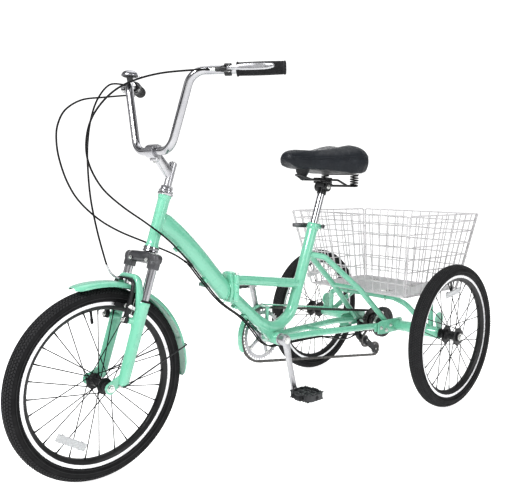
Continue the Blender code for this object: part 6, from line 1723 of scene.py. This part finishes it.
flap = [(-0.031, 0.838), (-0.0295, 0.812), (-0.010, 0.7860), (0.0, 0.7820), (0.010, 0.7860), (0.0295, 0.812),
        (0.031, 0.838)]
upright_plane = Matrix.Translation((0, 0.156, 0)) @ Matrix.Rotation(math.pi / 2, 4, "X")
base_shell.plate(flap, 0.0040, upright_plane, 0.0010)
piece("saddle_base", base_shell, PLASTIC, "seat")

# ---------------------------------------------------------------- quick-release levers

def handle(shape, points, radius, guide, foot_size, tip_size):
    """A lever's blade along a bent line, which widens away from its foot and thins at its tip."""

    def sizes(share):
        return tip_size if share >= 0.98 else (foot_size[0] + 0.0040 * share, foot_size[1])

    return shape.sweep(smooth_path(rounded(points, radius, 4), 18), guide, sizes)


centre = QR - X * 0.0225
cam = Shape().rod(centre - SEAT_AXIS * 0.0075, centre + SEAT_AXIS * 0.0075, 0.0068, sides=32, chamfer=0.0008)
handle(cam, [centre, centre + Vector((-0.0060, -0.0140, 0.002)), centre + Vector((-0.0300, -0.0760, 0.004))], 0.01,
       SEAT_AXIS, (0.0040, 0.0030), (0.0060, 0.0018))
piece("seat_clamp_handle", cam, CAST, "seat_clamp", ("seat_clamp_lever",), bevel=0.0003)

LATCH = Vector((-0.0365, HINGE.y - 0.009, HINGE.z))
latch = Shape().rod(LATCH - Z * 0.0110, LATCH + Z * 0.0110, 0.0054, sides=32, chamfer=0.0008)
handle(latch, [LATCH, LATCH + Vector((-0.010, -0.012, 0)), LATCH + Vector((-0.006, -0.072, 0.010))], 0.008, Z,
       (0.0052, 0.0034), (0.0060, 0.002))
piece("fold_latch_handle", latch, SATIN, "fold_latch", ("fold_latch",), bevel=0.0003)

# ---------------------------------------------------------------- brake and shift cables

CABLE_R = 0.0024
UNDER = 0.0065


def barrel_end(side):
    """Where a brake cable leaves its lever."""
    along = LEVER_ALONG - 0.0440
    return [on_arm(along, BARREL_FRONT, BARREL_UP, side), on_arm(along - 0.022, 0.0185, BARREL_UP, side)]


def cable(name, points, count, blend):
    """One run of outer cable with a ferrule at each end, which rides no body."""
    path = smooth_path(points, count)
    shape = Shape().tube(path, CABLE_R, 14)
    for tip, inner in ((path[0], path[1]), (path[-1], path[-2])):
        shape.rod(tip, tip + (inner - tip).normalized() * 0.0110, CABLE_R + 0.0007, sides=16, chamfer=0.0004)
    piece(name + "_sleeve", shape, SLEEVE, None, (name,), blend=blend, smooth=60)


cable("rear_brake_cable_front",
      barrel_end(1) + [(0.115, -0.486, 1.036), (0.075, -0.548, 1.012), (0.050, -0.592, 0.978), (0.034, -0.628, 0.925),
                       (0.026, -0.641, 0.868), (0.024, -0.634, 0.812), (0.025, -0.600, 0.754), (0.026, -0.545, 0.708),
                       (0.026, -0.470, 0.661), (0.0255, -0.405, 0.617), (0.0150, -0.350, 0.574),
                       (UNDER, -0.3125, 0.5415)],
      110, ("steering", "front_frame", (0.03, -0.640, 0.900), (0.015, -0.335, 0.560)))
cable("shift_cable_front",
      [on_arm(GRIP_START + 0.010, 0.004, -0.0235, -1), on_arm(GRIP_START - 0.024, 0.010, -0.0240, -1),
       (-0.190, -0.470, 1.006), (-0.160, -0.553, 0.988), (-0.130, -0.616, 0.954), (-0.105, -0.650, 0.912),
       (-0.085, -0.664, 0.870), (-0.070, -0.664, 0.822), (-0.055, -0.651, 0.766), (-0.052, -0.621, 0.718),
       (-0.046, -0.571, 0.672), (-0.036, -0.515, 0.638), (-0.0285, -0.439, 0.606), (-0.0260, -0.396, 0.588),
       (-0.0150, -0.350, 0.5665), (-UNDER, -0.3125, 0.5415)],
      120, ("steering", "front_frame", (-0.08, -0.660, 0.900), (-0.015, -0.335, 0.560)))
cable("front_brake_cable",
      barrel_end(-1) + [(-0.152, -0.474, 1.036), (-0.132, -0.522, 0.990), (-0.110, -0.555, 0.930),
                        (-0.085, -0.578, 0.862), (-0.062, -0.590, 0.797), (-0.045, -0.592, 0.722),
                        (-0.026, -0.586, 0.646), (-0.010, -0.577, 0.584), (-0.003, -0.569, 0.549),
                        (0.002, -0.560, 0.531), (0.012, -0.547, 0.521), (0.022, -0.537, 0.5185)],
      100, ("steering", "fork_lowers", (-0.085, -0.578, 0.862), (-0.006, -0.573, 0.566)))
under_frame = [(-0.3105, 0.5395), (-0.2600, 0.4830), (-0.1930, 0.4150), (-0.1080, 0.3560), (-0.0580, 0.3060),
               (-0.0240, 0.2680), (0.0120, 0.2480), (0.0440, 0.2450), (0.1060, 0.2445), (0.2500, 0.2410)]
cable("rear_brake_cable_rear",
      [(UNDER, y, z) for y, z in under_frame] + [(0.014, 0.340, 0.232), (0.030, 0.440, 0.232), (0.040, 0.502, 0.246)],
      110, ("front_frame", "rear_frame", (0, -0.250, 0.475), (0, -0.110, 0.357)))
cable("shift_cable_rear",
      [(-UNDER, y, z) for y, z in under_frame] + [(-0.012, 0.320, 0.224), (-0.030, 0.400, 0.205),
                                                  (-0.056, 0.470, 0.188), (-0.074, 0.525, 0.182),
                                                  (-0.0755, 0.549, 0.186)],
      110, ("front_frame", "rear_frame", (0, -0.250, 0.475), (0, -0.110, 0.357)))

noodle = smooth_path([(-0.0044, -0.5712, 0.5560), (-0.0030, -0.5690, 0.5490), (0.0020, -0.5600, 0.5310),
                      (0.0120, -0.5470, 0.5210), (0.0240, -0.5350, 0.5180)], 30)
piece("brake_noodle", Shape().tube(noodle, 0.0029, 14), SATIN, "fork_lowers")
BOOT_RINGS = 24
boot = Shape().tube([steer_point(0.0200 - 0.0440 * i / BOOT_RINGS, 0.0560, -0.0940) for i in range(BOOT_RINGS + 1)],
                    0.002, 14, radii=[0.0018 + 0.0016 * (i % 2) * (1 - i / 40) for i in range(BOOT_RINGS + 1)])
piece("brake_cable_boot", boot, GRIP, "fork_lowers", smooth=60)
inner_wire = [(0.040, 0.502, 0.246), (0.040, 0.512, 0.2535), BRAKE_ARM + Vector((0, -0.044, -0.028))]
piece("band_brake_wire", Shape().tube(inner_wire, 0.0009, 8), BRIGHT_BOLT, "rear_frame")

# ---------------------------------------------------------------- floor and finish

ground = Shape()
bmesh.ops.create_grid(ground.work, x_segments=8, y_segments=8, size=14)
floor = bpy.data.objects.new("studio_floor", ground.mesh("studio_floor"))
floor.data.materials.append(FLOOR)
scene.collection.objects.link(floor)

bpy.context.view_layer.update()
